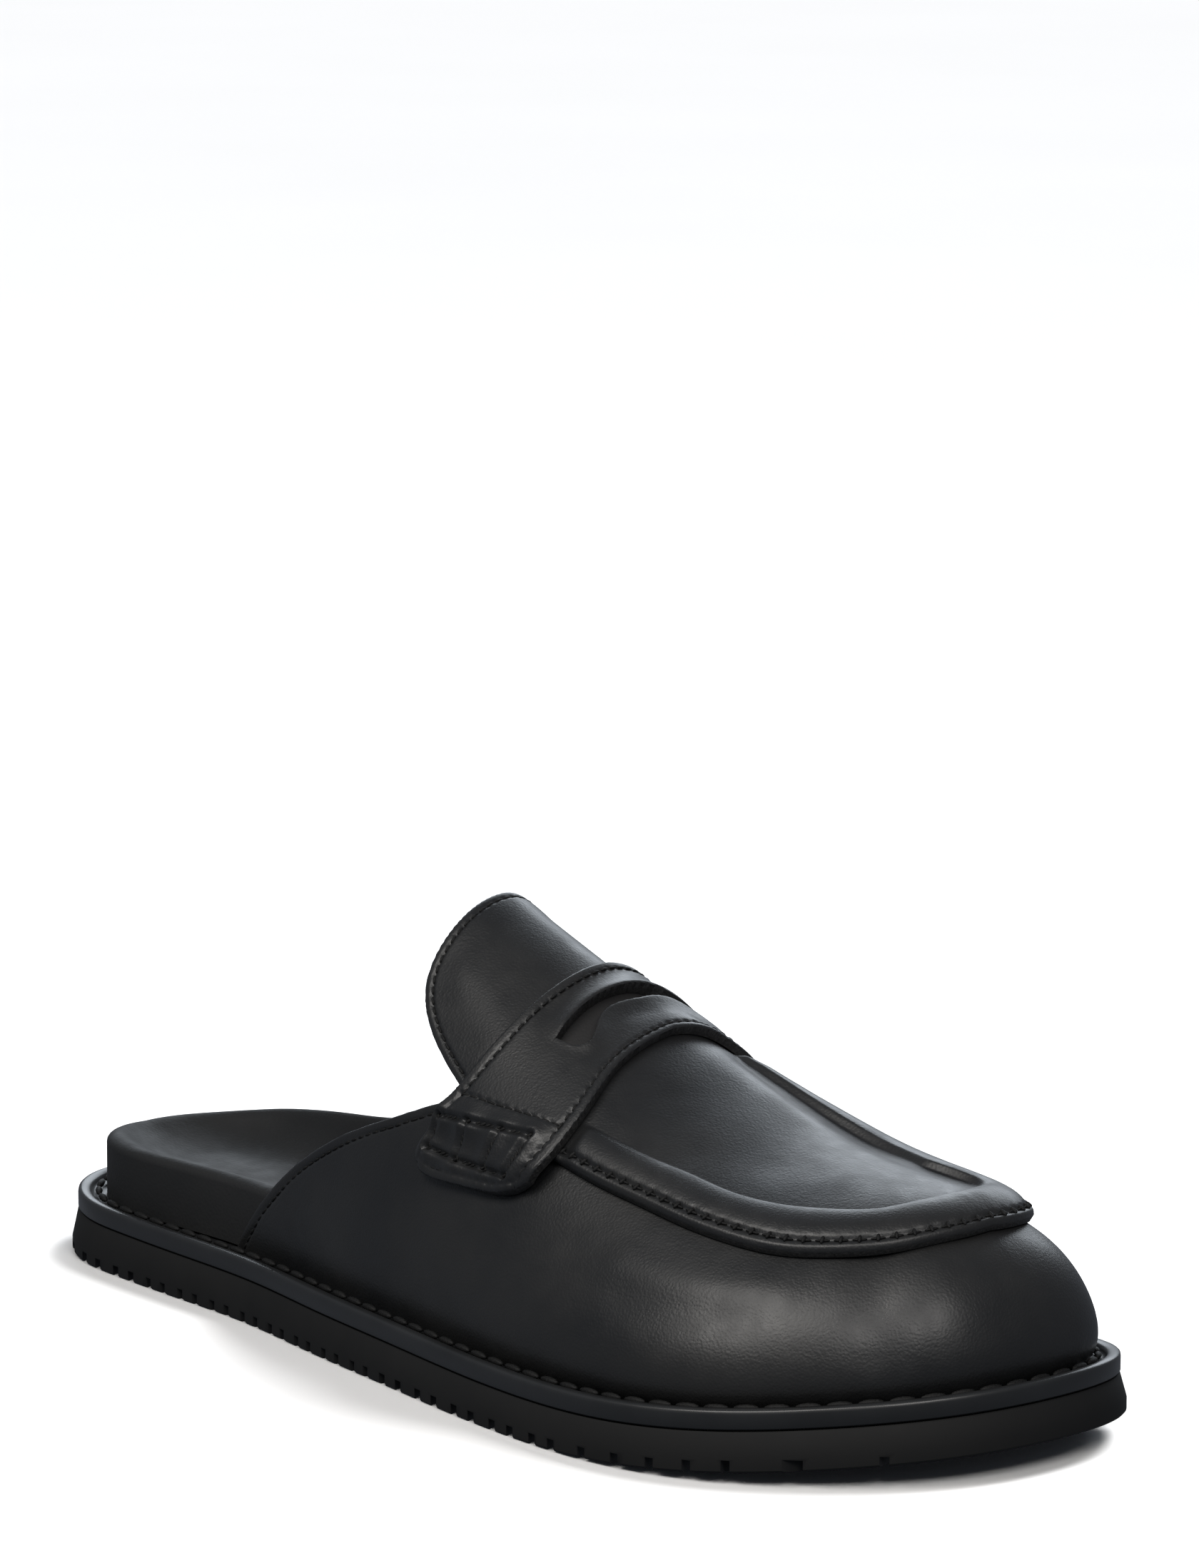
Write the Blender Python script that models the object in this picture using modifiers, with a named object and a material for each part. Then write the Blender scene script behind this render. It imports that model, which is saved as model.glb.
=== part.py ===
"""A right-foot backless penny loafer on a lugged rubber sole.

Metres, +X from heel to toe, +Y to the inner side of the foot, +Z up. The origin is on the floor under
the middle of the sole. The functions below work in shoe lengths, with x = 0 at the heel's end.
"""
import math

import bmesh
import bpy
import numpy as np

NAME = "backless_penny_loafer"

# Sole sizes
SOLE_LENGTH = 0.295
HEEL_WIDTH = 0.0700
BALL_WIDTH = 0.1110
TOE_SHIFT = 0.0060
OUTSOLE_THICKNESS = 0.0085
HEEL_WEDGE = 0.0015
OUTSOLE_FLARE = 0.0014
TOE_SPRING = 0.0070
HEEL_SPRING = 0.0008
TOE_SPRING_START = 0.66
HEEL_SPRING_END = 0.10
HEEL_WEDGE_END = 0.62
FLARE_HEIGHT = 0.35
LUG_DEPTH = 0.0025
LUG_GROOVE = 0.0021
LUG_PITCH = 0.0133
TOE_LUG_PITCH = 0.0190
LUG_ZIGZAG = 0.0080
LUG_PAIR = 0.45
TOE_LUGS_START = 0.74
GROOVE_REACH = 0.62

# Welt sizes
WELT_THICKNESS = 0.0045
WELT_LIP = 0.0030
WELT_GROOVE_DEPTH = 0.0021
WELT_CHAMFER = 0.0006
WELT_SEAT = 0.0040

# Upper sizes
UPPER_INSET = 0.0070
VAMP_WALL = 0.0018
INSTEP_HEIGHT = 0.0900
SPINE_LEAD = 0.0500
SPINE_SHIFT = 0.09
WALL_BULGE = 0.05
BULGE_RISE = 0.22
LEAD_START = 0.50
LEAD_END = 1.06
LEAD_POWER = 1.3
APRON_THICKNESS = 0.0017
APRON_RIDGE = 0.0018
RIDGE_FADE = 0.06
RIDGE_DROP = 0.10
RIDGE_ROUNDING = 0.8
TONGUE_THICKNESS = 0.0018
STRAP_THICKNESS = 0.0023
STRAP_CORNER = 0.08
STRAP_REACH = 1.16
STRAP_RAMP = 0.06
SLOT_HALF_LENGTH = 0.0235
SLOT_WIDTH = 0.0070
SLOT_BOW = 0.0028
SLOT_PLACE = 0.567

# Footbed sizes
FOOTBED_INSET = 0.0065
RIM_HEIGHT = 0.0148
RIM_LEAN = 0.0019
COVER_START = 0.10
COVER_LEAD = 0.02
LEAN_POWER = 1.5
RIM_ROUNDING = 0.0036
BED_AXIS_START = 0.13
BED_AXIS_END = 0.84

# Clearance between pieces that touch, and between curved leather layers
FIT = 0.0003
LAYER_FIT = 0.0004

# Outline of the sole from above: share of the length, outer and inner half width as shares of the
# heel's width (first table) and of the ball's width (second table)
HEEL_OUTLINE = (
    (0.012, 0.206, 0.231),
    (0.035, 0.321, 0.361),
    (0.070, 0.406, 0.454),
    (0.120, 0.452, 0.503),
    (0.200, 0.492, 0.512),
    (0.300, 0.541, 0.502),
)
BALL_OUTLINE = (
    (0.400, 0.399, 0.308),
    (0.500, 0.452, 0.330),
    (0.600, 0.504, 0.385),
    (0.700, 0.540, 0.445),
    (0.780, 0.541, 0.460),
    (0.860, 0.479, 0.436),
    (0.920, 0.366, 0.392),
    (0.960, 0.253, 0.334),
    (0.985, 0.140, 0.255),
)

# Height of the upper over the spine: share of the length, share of INSTEP_HEIGHT
SPINE = (
    (0.20, 1.270),
    (0.35, 1.190),
    (0.42, 1.110),
    (0.50, 1.000),
    (0.60, 0.840),
    (0.70, 0.690),
    (0.80, 0.600),
    (0.90, 0.575),
    (1.00, 0.570),
)

# Squareness of the cross-section: share along the side, exponent
SECTION = (
    (0.00, 2.00),
    (0.55, 2.10),
    (0.75, 2.35),
    (1.00, 3.00),
)

# Rim of the footbed: share along the side, outer and inner height as shares of RIM_HEIGHT,
# height of the dished middle
RIM = (
    (0.00, 0.90, 0.90, 0.58),
    (0.06, 0.96, 0.95, 0.55),
    (0.12, 0.98, 1.13, 0.55),
    (0.20, 0.98, 1.42, 0.54),
    (0.28, 0.97, 1.62, 0.55),
    (0.38, 0.88, 1.62, 0.60),
    (0.52, 0.64, 0.95, 0.50),
    (0.70, 0.48, 0.50, 0.44),
    (1.00, 0.45, 0.45, 0.42),
)

# Rings of the footbed from its foot to its middle: share of RIM_ROUNDING moved in, share of the rim's
# height, share of the way to the middle, share of the way down into the dish
BED_RINGS = (
    (0.00, 0.00, 0.00, 0.00),
    (0.00, 0.88, 0.00, 0.00),
    (0.22, 0.97, 0.00, 0.00),
    (0.67, 1.00, 0.00, 0.00),
    (1.00, 1.00, 0.04, 0.06),
    (1.00, 1.00, 0.20, 0.48),
    (1.00, 1.00, 0.42, 0.83),
    (1.00, 1.00, 0.72, 1.00),
)

# Rear edge of the upper: height angle (0 over the spine, 1 at the welt), share along the side
TOPLINE = (
    (0.00, 0.560),
    (0.46, 0.530),
    (0.56, 0.487),
    (0.66, 0.435),
    (0.75, 0.376),
    (0.84, 0.319),
    (0.92, 0.277),
    (1.00, 0.245),
)

# Apron: share along the side, height angle of its outer edge, and where its ridge runs as a share of
# that angle
APRON_EDGE = (
    (0.50, 0.535, 0.80),
    (0.60, 0.520, 0.80),
    (0.66, 0.492, 0.78),
    (0.72, 0.467, 0.76),
    (0.78, 0.473, 0.76),
    (0.85, 0.495, 0.73),
    (0.90, 0.482, 0.73),
    (0.95, 0.446, 0.69),
    (1.00, 0.430, 0.67),
)

# Tongue: share along the side of its tip, and the gap in shares between its root and the apron
TONGUE_TIP = 0.428
TONGUE_ROOT_GAP = 0.004
TONGUE_TIP_ANGLE = 0.515
TONGUE_ROOT_ANGLE = 0.43
TONGUE_ROUNDING = 0.075
TONGUE_CORNER = 9

# Strap: height angle, shares along the side of its rear and front edges
STRAP_EDGES = (
    (0.00, 0.522, 0.604),
    (0.20, 0.522, 0.606),
    (0.40, 0.516, 0.613),
    (0.50, 0.508, 0.609),
    (0.60, 0.493, 0.597),
    (0.75, 0.463, 0.583),
)
# Slot in the strap: share of its half length, share of SLOT_WIDTH
SLOT_FRONT = (
    (0.00, 0.62),
    (0.20, 0.56),
    (0.40, 0.52),
    (0.55, 0.62),
    (0.70, 0.88),
    (0.82, 1.00),
    (0.92, 0.82),
    (0.98, 0.42),
    (1.00, 0.00),
)

STRAP_REAR_END = 0.73
STRAP_FRONT_END = 0.625

# Rows and columns of the meshes
SIDE_STATIONS = 44
KNOT_SAMPLES = 16
CREASE_ANGLE = 40
UPPER_ROWS = 22
WALL_COLUMNS = 6
PANEL_COLUMNS = (0.45, 0.80)
BORDER_COLUMNS = (0.30, 0.65)
TONGUE_ROWS = 8
TONGUE_COLUMNS = 14
STRAP_ROWS = 7
STRAP_COLUMNS = 30
SLOT_STEPS = 24
GROOVE_LEGS = 8


def column(table, index):
    return np.array([row[index] for row in table])


def read(table, index, share):
    """A column of a table, read smoothly at a share of its first column."""
    xs = column(table, 0)
    ys = column(table, index)
    slopes = np.gradient(ys, xs)
    k = int(np.clip(np.searchsorted(xs, share) - 1, 0, len(xs) - 2))
    step = xs[k + 1] - xs[k]
    t = float(np.clip((share - xs[k]) / step, 0.0, 1.0))
    low = ys[k] * (1 + 2 * t) * (1 - t) ** 2 + ys[k + 1] * t * t * (3 - 2 * t)
    return low + step * (slopes[k] * t * (1 - t) ** 2 + slopes[k + 1] * t * t * (t - 1))


def smooth(value, low, high):
    t = np.clip((value - low) / (high - low), 0.0, 1.0)
    return t * t * (3 - 2 * t)


def closed_spline(points, samples):
    """A smooth closed curve through the points, with its outward normals."""
    points = np.array(points)
    count = len(points)
    gaps = np.linalg.norm(np.roll(points, -1, 0) - points, axis=1)
    rises = (np.roll(points, -1, 0) - points) / gaps[:, None]
    matrix = np.zeros((count, count))
    right = np.zeros((count, 2))
    for k in range(count):
        before = (k - 1) % count
        matrix[k, before] = gaps[k]
        matrix[k, k] = 2 * (gaps[before] + gaps[k])
        matrix[k, (k + 1) % count] = gaps[before]
        right[k] = 3 * (gaps[k] * rises[before] + gaps[before] * rises[k])
    slopes = np.linalg.solve(matrix, right)
    curve = []
    normals = []
    for k in range(count):
        after = (k + 1) % count
        for t in np.arange(samples) / samples:
            h = gaps[k]
            curve.append(points[k] * (1 + 2 * t) * (1 - t) ** 2 + points[after] * t * t * (3 - 2 * t)
                         + h * (slopes[k] * t * (1 - t) ** 2 + slopes[after] * t * t * (t - 1)))
            tangent = (6 * t * (t - 1) * (points[k] - points[after]) / h
                       + slopes[k] * (1 - t) * (1 - 3 * t) + slopes[after] * t * (3 * t - 2))
            tangent /= np.linalg.norm(tangent)
            normals.append((tangent[1], -tangent[0]))
    return np.array(curve), np.array(normals)


def outline_points():
    outer = []
    inner = []
    for table, width in ((HEEL_OUTLINE, HEEL_WIDTH), (BALL_OUTLINE, BALL_WIDTH)):
        for share, outer_half, inner_half in table:
            outer.append((share * SOLE_LENGTH, -outer_half * width))
            inner.append((share * SOLE_LENGTH, inner_half * width))
    return [(0.0, 0.0)] + outer + [(SOLE_LENGTH, TOE_SHIFT)] + inner[::-1], len(outer) + 1


OUTLINE, TOE_KNOT = outline_points()
CURVE, NORMALS = closed_spline(OUTLINE, KNOT_SAMPLES)
CENTRE = np.array([SOLE_LENGTH / 2, (CURVE[:, 1].min() + CURVE[:, 1].max()) / 2, 0.0])


class Side:
    """One side of the outline moved in by an inset, from the heel's end to the toe's end."""

    def __init__(self, inset, inner):
        toe = TOE_KNOT * KNOT_SAMPLES
        moved = CURVE - NORMALS * inset
        points = moved[:toe + 1]
        if inner:
            points = np.vstack([moved[toe:], moved[:1]])[::-1]
        self.points = points
        steps = np.linalg.norm(np.diff(points, axis=0), axis=1)
        self.shares = np.concatenate([[0.0], np.cumsum(steps)])
        self.shares /= self.shares[-1]

    def at(self, share):
        x = np.interp(share, self.shares, self.points[:, 0])
        y = np.interp(share, self.shares, self.points[:, 1])
        return np.array([x, y])


def ground(x):
    """Height of the sole's underside: flat, with a spring at the toe and a little at the heel."""
    share = x / SOLE_LENGTH
    toe = np.clip((share - TOE_SPRING_START) / (1 - TOE_SPRING_START), 0.0, None)
    heel = np.clip(1 - share / HEEL_SPRING_END, 0.0, None)
    return TOE_SPRING * toe ** 2 + HEEL_SPRING * heel ** 2


def outsole_top(x):
    wedge = HEEL_WEDGE * np.clip(1 - x / (HEEL_WEDGE_END * SOLE_LENGTH), 0.0, 1.0)
    return ground(x) + OUTSOLE_THICKNESS + wedge


def seat(x):
    """Height of the welt's floor, on which the footbed and the upper stand."""
    return outsole_top(x) + FIT + WELT_THICKNESS - WELT_GROOVE_DEPTH + FIT


FEET = (Side(UPPER_INSET, False), Side(UPPER_INSET, True))


def centre_line(x):
    ys = []
    for side in FEET:
        ys.append(np.interp(x, side.points[:, 0], side.points[:, 1]))
    return (ys[0] + ys[1]) / 2 + SPINE_SHIFT * (ys[1] - ys[0])


def spine_height(x):
    return INSTEP_HEIGHT * read(SPINE, 1, x / SOLE_LENGTH)


def last(share, angle):
    """The outside of the upper: share along the side, angle from -1 (outer) over 0 to 1 (inner)."""
    feet = [side.at(share) for side in FEET]
    foot = feet[0] if angle < 0 else feet[1]
    middle = (feet[0][0] + feet[1][0]) / 2
    lead = smooth(middle / SOLE_LENGTH, LEAD_START, LEAD_END)
    spine_x = middle - SPINE_LEAD * lead ** LEAD_POWER
    spine = np.array([spine_x, centre_line(spine_x)])
    turn = abs(angle) * math.pi / 2
    power = read(SECTION, 1, share)
    radius = (math.sin(turn) ** power + math.cos(turn) ** power) ** (-1 / power)
    reach = radius * math.sin(turn)
    rise = radius * math.cos(turn)
    reach *= 1 + WALL_BULGE * (rise / BULGE_RISE) * math.exp(1 - rise / BULGE_RISE)
    x, y = spine + (foot - spine) * reach
    floor = seat(foot[0])
    return np.array([x, y, floor + (spine_height(x) - floor) * rise])


def outward(share, angle):
    """The normal of the upper's outside, taken just short of the toe's middle line."""
    step = 0.004
    near = min(share, 1 - 3 * step)
    along = last(near + step, angle) - last(near - step, angle)
    across = last(near, min(angle + step, 1.0)) - last(near, max(angle - step, -1.0))
    normal = np.cross(along, across)
    return normal / np.linalg.norm(normal)


def raised(share, angle, offset):
    """A point of the upper's outside, moved out along its normal."""
    normal = outward(share, angle)
    if share > 0.999:
        normal = normal + outward(share, -angle)
        normal /= np.linalg.norm(normal)
    return last(share, angle) + normal * offset


def collection(name):
    group = bpy.data.collections.get(name)
    if group is None:
        group = bpy.data.collections.new(name)
        bpy.context.scene.collection.children.link(group)
    return group


def material(name, colour, roughness):
    made = bpy.data.materials.new(name)
    made.use_nodes = True
    shader = made.node_tree.nodes["Principled BSDF"]
    shader.inputs["Base Color"].default_value = (*colour, 1.0)
    shader.inputs["Roughness"].default_value = roughness
    shader.inputs["Metallic"].default_value = 0.0
    return made


def add_object(name, points, faces, made, group=NAME):
    """An object from points in shoe lengths and faces, shaded smooth with sharp creases."""
    mesh = bpy.data.meshes.new(name)
    mesh.from_pydata([tuple(p - CENTRE) for p in points], [], faces)
    mesh.update()
    mesh.shade_smooth()
    mesh.set_sharp_from_angle(angle=math.radians(CREASE_ANGLE))
    if made:
        mesh.materials.append(made)
    obj = bpy.data.objects.new(name, mesh)
    collection(group).objects.link(obj)
    return obj


def side_pairs(inset):
    """Matching points of both sides of the outline, moved in by an inset, at SIDE_STATIONS stations."""
    outer_side = Side(inset, False)
    inner_side = Side(inset, True)
    pairs = []
    for k in range(SIDE_STATIONS + 1):
        share = k / SIDE_STATIONS
        pairs.append((outer_side.at(share), inner_side.at(share)))
    return pairs


def ring(pairs, height):
    """A closed loop from matching points: out along the outer side, back along the inner side."""
    loop = [np.array([*p, height(p[0])]) for p, _ in pairs]
    loop += [np.array([*q, height(q[0])]) for _, q in pairs[-2:0:-1]]
    return loop


def stacked_rings(name, rings, made):
    """A closed solid from rings, the first closed below and the last closed above."""
    size = len(rings[0])
    points = [p for loop in rings for p in loop]
    faces = []
    for level in range(len(rings) - 1):
        base = level * size
        for k in range(size):
            after = (k + 1) % size
            faces.append((base + k, base + after, base + size + after, base + size + k))
    top = (len(rings) - 1) * size
    for k in range(size // 2):
        mirror = (size - k) % size
        quad = [k, k + 1, size - k - 1, mirror]
        quad = [v for n, v in enumerate(quad) if v not in quad[:n]]
        faces.append(tuple(top + v for v in quad))
        faces.append(tuple(quad[::-1]))
    return add_object(name, points, faces, made)


def leather_sheet(name, rows, thickness, made, folded=False):
    """An open surface over rows of points, given its wall inwards. Folded: its last row meets itself."""
    count = len(rows[0])
    points = [p for row in rows for p in row]
    faces = []
    for i in range(len(rows) - 1):
        after = [(i + 1) * count + j for j in range(count)]
        if folded and i == len(rows) - 2:
            after = [(i + 1) * count + min(j, count - 1 - j) for j in range(count)]
        for j in range(count - 1):
            face = (i * count + j, after[j], after[j + 1], i * count + j + 1)
            faces.append(tuple(v for n, v in enumerate(face) if v not in face[:n]))
    used = sorted({v for face in faces for v in face})
    renumber = {old: new for new, old in enumerate(used)}
    faces = [tuple(renumber[v] for v in face) for face in faces]
    obj = add_object(name, [points[v] for v in used], faces, made)
    wall = obj.modifiers.new("wall", "SOLIDIFY")
    wall.thickness = thickness
    wall.offset = -1
    wall.use_even_offset = True
    wall.use_quality_normals = True
    return obj


def build_outsole(made):
    low = side_pairs(-OUTSOLE_FLARE)
    high = side_pairs(0.0)
    rings = [ring(low, ground),
             ring(low, lambda x: ground(x) + FLARE_HEIGHT * OUTSOLE_THICKNESS),
             ring(high, outsole_top)]
    outsole = stacked_rings("outsole", rings, made)
    cut = outsole.modifiers.new("lugs", "BOOLEAN")
    cut.operation = "DIFFERENCE"
    cut.solver = "EXACT"
    cut.object = build_lug_cutter()
    return outsole


def lug_places():
    """Distances from the heel at which a groove crosses the sole, in pairs under heel and arch."""
    places = []
    x = 0.5 * LUG_PITCH
    while x < TOE_LUGS_START * SOLE_LENGTH:
        places += [x, x + LUG_PAIR * LUG_PITCH]
        x += LUG_PITCH
    x += LUG_GROOVE
    while x < SOLE_LENGTH - 0.5 * TOE_LUG_PITCH:
        places.append(x)
        x += 0.5 * TOE_LUG_PITCH
    return places


def build_lug_cutter():
    """Zigzag bars as wide as a groove, from below the sole up to the groove's floor."""
    width = GROOVE_REACH * BALL_WIDTH
    points = []
    faces = []
    for place in lug_places():
        first = len(points)
        for k in range(GROOVE_LEGS + 1):
            y = -width + 2 * width * k / GROOVE_LEGS
            x = place + (LUG_ZIGZAG if k % 2 == 0 else 0.0) - LUG_ZIGZAG / 2
            floor = ground(place) + LUG_DEPTH
            for edge in (x - LUG_GROOVE / 2, x + LUG_GROOVE / 2):
                points.append(np.array([edge, y, -OUTSOLE_THICKNESS]))
                points.append(np.array([edge, y, floor]))
        for k in range(GROOVE_LEGS):
            a = first + 4 * k
            b = a + 4
            faces += [(a, a + 2, b + 2, b), (a + 1, b + 1, b + 3, a + 3),
                      (a, b, b + 1, a + 1), (a + 2, a + 3, b + 3, b + 2)]
        end = first + 4 * GROOVE_LEGS
        faces += [(first, first + 1, first + 3, first + 2), (end, end + 2, end + 3, end + 1)]
    cutter = add_object("lug_cutter", points, faces, None, "cutters")
    mesh = bmesh.new()
    mesh.from_mesh(cutter.data)
    bmesh.ops.recalc_face_normals(mesh, faces=mesh.faces)
    mesh.to_mesh(cutter.data)
    mesh.free()
    cutter.hide_render = True
    cutter.display_type = "WIRE"
    return cutter


def build_welt(made):
    """A plate with a raised lip round its edge and a stitch groove inside the lip."""
    profile = (
        (0.0000, 0.0000),
        (0.0000, WELT_THICKNESS - WELT_CHAMFER),
        (WELT_CHAMFER, WELT_THICKNESS),
        (WELT_LIP, WELT_THICKNESS),
        (WELT_LIP + WELT_CHAMFER, WELT_THICKNESS - WELT_GROOVE_DEPTH),
        (FOOTBED_INSET + WELT_SEAT, WELT_THICKNESS - WELT_GROOVE_DEPTH),
    )
    rings = []
    for inset, height in profile:
        rings.append(ring(side_pairs(inset), lambda x, h=height: outsole_top(x) + FIT + h))
    return stacked_rings("welt", rings, made)


def build_footbed(made):
    """A wrapped footbed: an upright rim, dished inside it, thinner and leaning in under the upper."""
    under_upper = UPPER_INSET + VAMP_WALL + 2 * FIT

    def bed_ring(round_in, lift, shrink, dish):
        loops = []
        for k in range(SIDE_STATIONS + 1):
            share = k / SIDE_STATIONS
            covered = smooth(share, COVER_START, TOPLINE[-1][1] - COVER_LEAD)
            core = read(RIM, 3, share)
            rims = [read(RIM, index, share) for index in (1, 2)]
            points = []
            for index, rim in enumerate(rims):
                lean = covered * RIM_LEAN * (rim * lift) ** LEAN_POWER
                inset = FOOTBED_INSET + covered * (under_upper - FOOTBED_INSET) + lean
                inset += RIM_ROUNDING * round_in
                points.append(Side(inset, index == 1).at(share))
            middle = (points[0][0] + points[1][0]) / 2
            axis_x = np.clip(middle, BED_AXIS_START * SOLE_LENGTH, BED_AXIS_END * SOLE_LENGTH)
            axis = np.array([axis_x, centre_line(axis_x)])
            row = []
            for point, rim in zip(points, rims):
                x, y = point + (axis - point) * shrink
                height = RIM_HEIGHT * (rim + (core - rim) * dish) * lift
                row.append(np.array([x, y, seat(x) + FIT + height]))
            loops.append(row)
        return [row[0] for row in loops] + [row[1] for row in loops[-2:0:-1]]

    return stacked_rings("footbed", [bed_ring(*row) for row in BED_RINGS], made)


def apron_edge(share):
    return read(APRON_EDGE, 1, share)


def apron_places(share):
    """Columns of the apron, as shares of its half width: the middle, the ridge and the outer edge."""
    ridge = read(APRON_EDGE, 2, share)
    inside = [ridge * k for k in PANEL_COLUMNS]
    outside = [ridge + (1 - ridge) * k for k in BORDER_COLUMNS]
    return [0.0, *inside, ridge - RIDGE_DROP / 2, ridge, *outside, 1.0]


def row_share(row, angle):
    """Share along the side of a row of the upper, which starts at the rear edge."""
    start = read(TOPLINE, 1, angle)
    return start + (1 - start) * row / UPPER_ROWS


def build_vamp(made):
    """The upper's wall. Its columns follow those of the apron, so that the two lie evenly."""
    rows = []
    for i in range(UPPER_ROWS + 1):
        base = row_share(i, 0.0)
        edge = apron_edge(base)
        angles = [edge * place for place in apron_places(base)]
        angles += [edge + (1 - edge) * k / WALL_COLUMNS for k in range(1, WALL_COLUMNS + 1)]
        row = [last(row_share(i, angle), -angle) for angle in angles[:0:-1]]
        row += [last(row_share(i, angle), angle) for angle in angles]
        rows.append(row)
    return leather_sheet("vamp", rows, VAMP_WALL, made, folded=True)


def ridge_lift(place, ridge, share):
    """Extra height of the apron at a share of its half width: a crest with a sunk panel inside."""
    front = read(STRAP_EDGES, 2, ridge * apron_edge(share))
    crest = APRON_RIDGE * smooth(share, front, front + RIDGE_FADE)
    if place > ridge:
        return crest * (1 - (place - ridge) / (1 - ridge)) ** RIDGE_ROUNDING
    return crest * max(0.0, 1 - (ridge - place) / RIDGE_DROP) ** 2


def build_apron(made):
    """The plug on the vamp, from under the strap to its edge round the toe."""
    rows = []
    for i in range(UPPER_ROWS + 1):
        base = row_share(i, 0.0)
        edge = apron_edge(base)
        ridge = read(APRON_EDGE, 2, base)
        places = apron_places(base)
        row = []
        for place in [-p for p in places[:0:-1]] + list(places):
            share = row_share(i, edge * abs(place))
            offset = LAYER_FIT + APRON_THICKNESS + ridge_lift(abs(place), ridge, share)
            row.append(raised(share, edge * place, offset))
        rows.append(row)
    return leather_sheet("apron", rows, APRON_THICKNESS, made, folded=True)


def build_tongue(made):
    """An arched flap with a rounded end, in the apron's layer, rising out behind the strap."""
    rows = []
    for i in range(TONGUE_ROWS + 1):
        row = []
        for j in range(TONGUE_COLUMNS + 1):
            across = 2 * j / TONGUE_COLUMNS - 1
            tip = TONGUE_TIP + TONGUE_ROUNDING * abs(across) ** TONGUE_CORNER
            along = i / TONGUE_ROWS
            half = TONGUE_TIP_ANGLE + (TONGUE_ROOT_ANGLE - TONGUE_TIP_ANGLE) * along
            root = row_share(0, TONGUE_ROOT_ANGLE * abs(across)) - TONGUE_ROOT_GAP
            share = tip + (root - tip) * along
            row.append(raised(share, half * across, LAYER_FIT + TONGUE_THICKNESS))
        rows.append(row)
    return leather_sheet("tongue", rows, TONGUE_THICKNESS, made)


def strap_lift(share, angle):
    """Height of the strap's underside over the vamp: over the apron, and down to the vamp at its ends."""
    over = smooth(apron_edge(share) * STRAP_REACH - abs(angle), -STRAP_RAMP / 4, STRAP_RAMP)
    return LAYER_FIT + over * (APRON_THICKNESS + LAYER_FIT)


def build_strap(made):
    rows = []
    for i in range(STRAP_ROWS + 1):
        along = i / STRAP_ROWS
        row = []
        for j in range(STRAP_COLUMNS + 1):
            across = 2 * j / STRAP_COLUMNS - 1
            end = STRAP_REAR_END + (STRAP_FRONT_END - STRAP_REAR_END) * along
            end *= 1 - STRAP_CORNER * abs(2 * along - 1) ** 5
            angle = end * across
            rear = read(STRAP_EDGES, 1, abs(angle))
            front = read(STRAP_EDGES, 2, abs(angle))
            share = rear + (front - rear) * along
            row.append(raised(share, angle, strap_lift(share, angle) + STRAP_THICKNESS))
        rows.append(row)
    strap = leather_sheet("strap", rows, STRAP_THICKNESS, made)
    cut = strap.modifiers.new("slot", "BOOLEAN")
    cut.operation = "DIFFERENCE"
    cut.solver = "EXACT"
    cut.object = build_slot_cutter()
    return strap


def build_slot_cutter():
    """An upright prism of the slot's outline: an arc behind, two lobes in front."""
    place = last(SLOT_PLACE, 0.0)
    front = []
    rear = []
    for k in range(SLOT_STEPS + 1):
        across = math.sin(math.pi / 2 * (2 * k / SLOT_STEPS - 1))
        y = place[1] + SLOT_HALF_LENGTH * across
        arc = place[0] - SLOT_BOW * (1 - across ** 2)
        rear.append((arc, y))
        front.append((arc + SLOT_WIDTH * read(SLOT_FRONT, 1, abs(across)), y))
    loop = front + rear[-2:0:-1]
    count = len(loop)
    points = []
    for height in (0.5 * INSTEP_HEIGHT, 1.3 * INSTEP_HEIGHT):
        points += [np.array([x, y, height]) for x, y in loop]
    faces = [tuple(range(count))[::-1], tuple(range(count, 2 * count))]
    for k in range(count):
        after = (k + 1) % count
        faces.append((k, after, count + after, count + k))
    cutter = add_object("slot_cutter", points, faces, None, "cutters")
    cutter.hide_render = True
    cutter.display_type = "WIRE"
    return cutter


def main():
    for obj in list(bpy.data.objects):
        bpy.data.objects.remove(obj)
    rubber = material("black_rubber", (0.012, 0.012, 0.012), 0.75)
    edge = material("black_welt_rubber", (0.016, 0.017, 0.018), 0.45)
    bed = material("black_footbed_leather", (0.014, 0.014, 0.014), 0.60)
    calf = material("black_grained_leather", (0.013, 0.014, 0.015), 0.42)
    build_outsole(rubber)
    build_welt(edge)
    build_footbed(bed)
    build_vamp(calf)
    build_apron(calf)
    build_tongue(calf)
    build_strap(calf)


main()
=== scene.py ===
"""Looks of a right-foot backless penny loafer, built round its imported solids.

Metres, +X from heel to toe, +Y to the inner side of the foot, +Z up. The functions of the last work in
shoe lengths, with x = 0 at the heel's end. CENTRE takes them to the row frame.
"""
import math

import bpy
import numpy as np
from mathutils import Matrix, Vector, kdtree, noise


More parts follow.
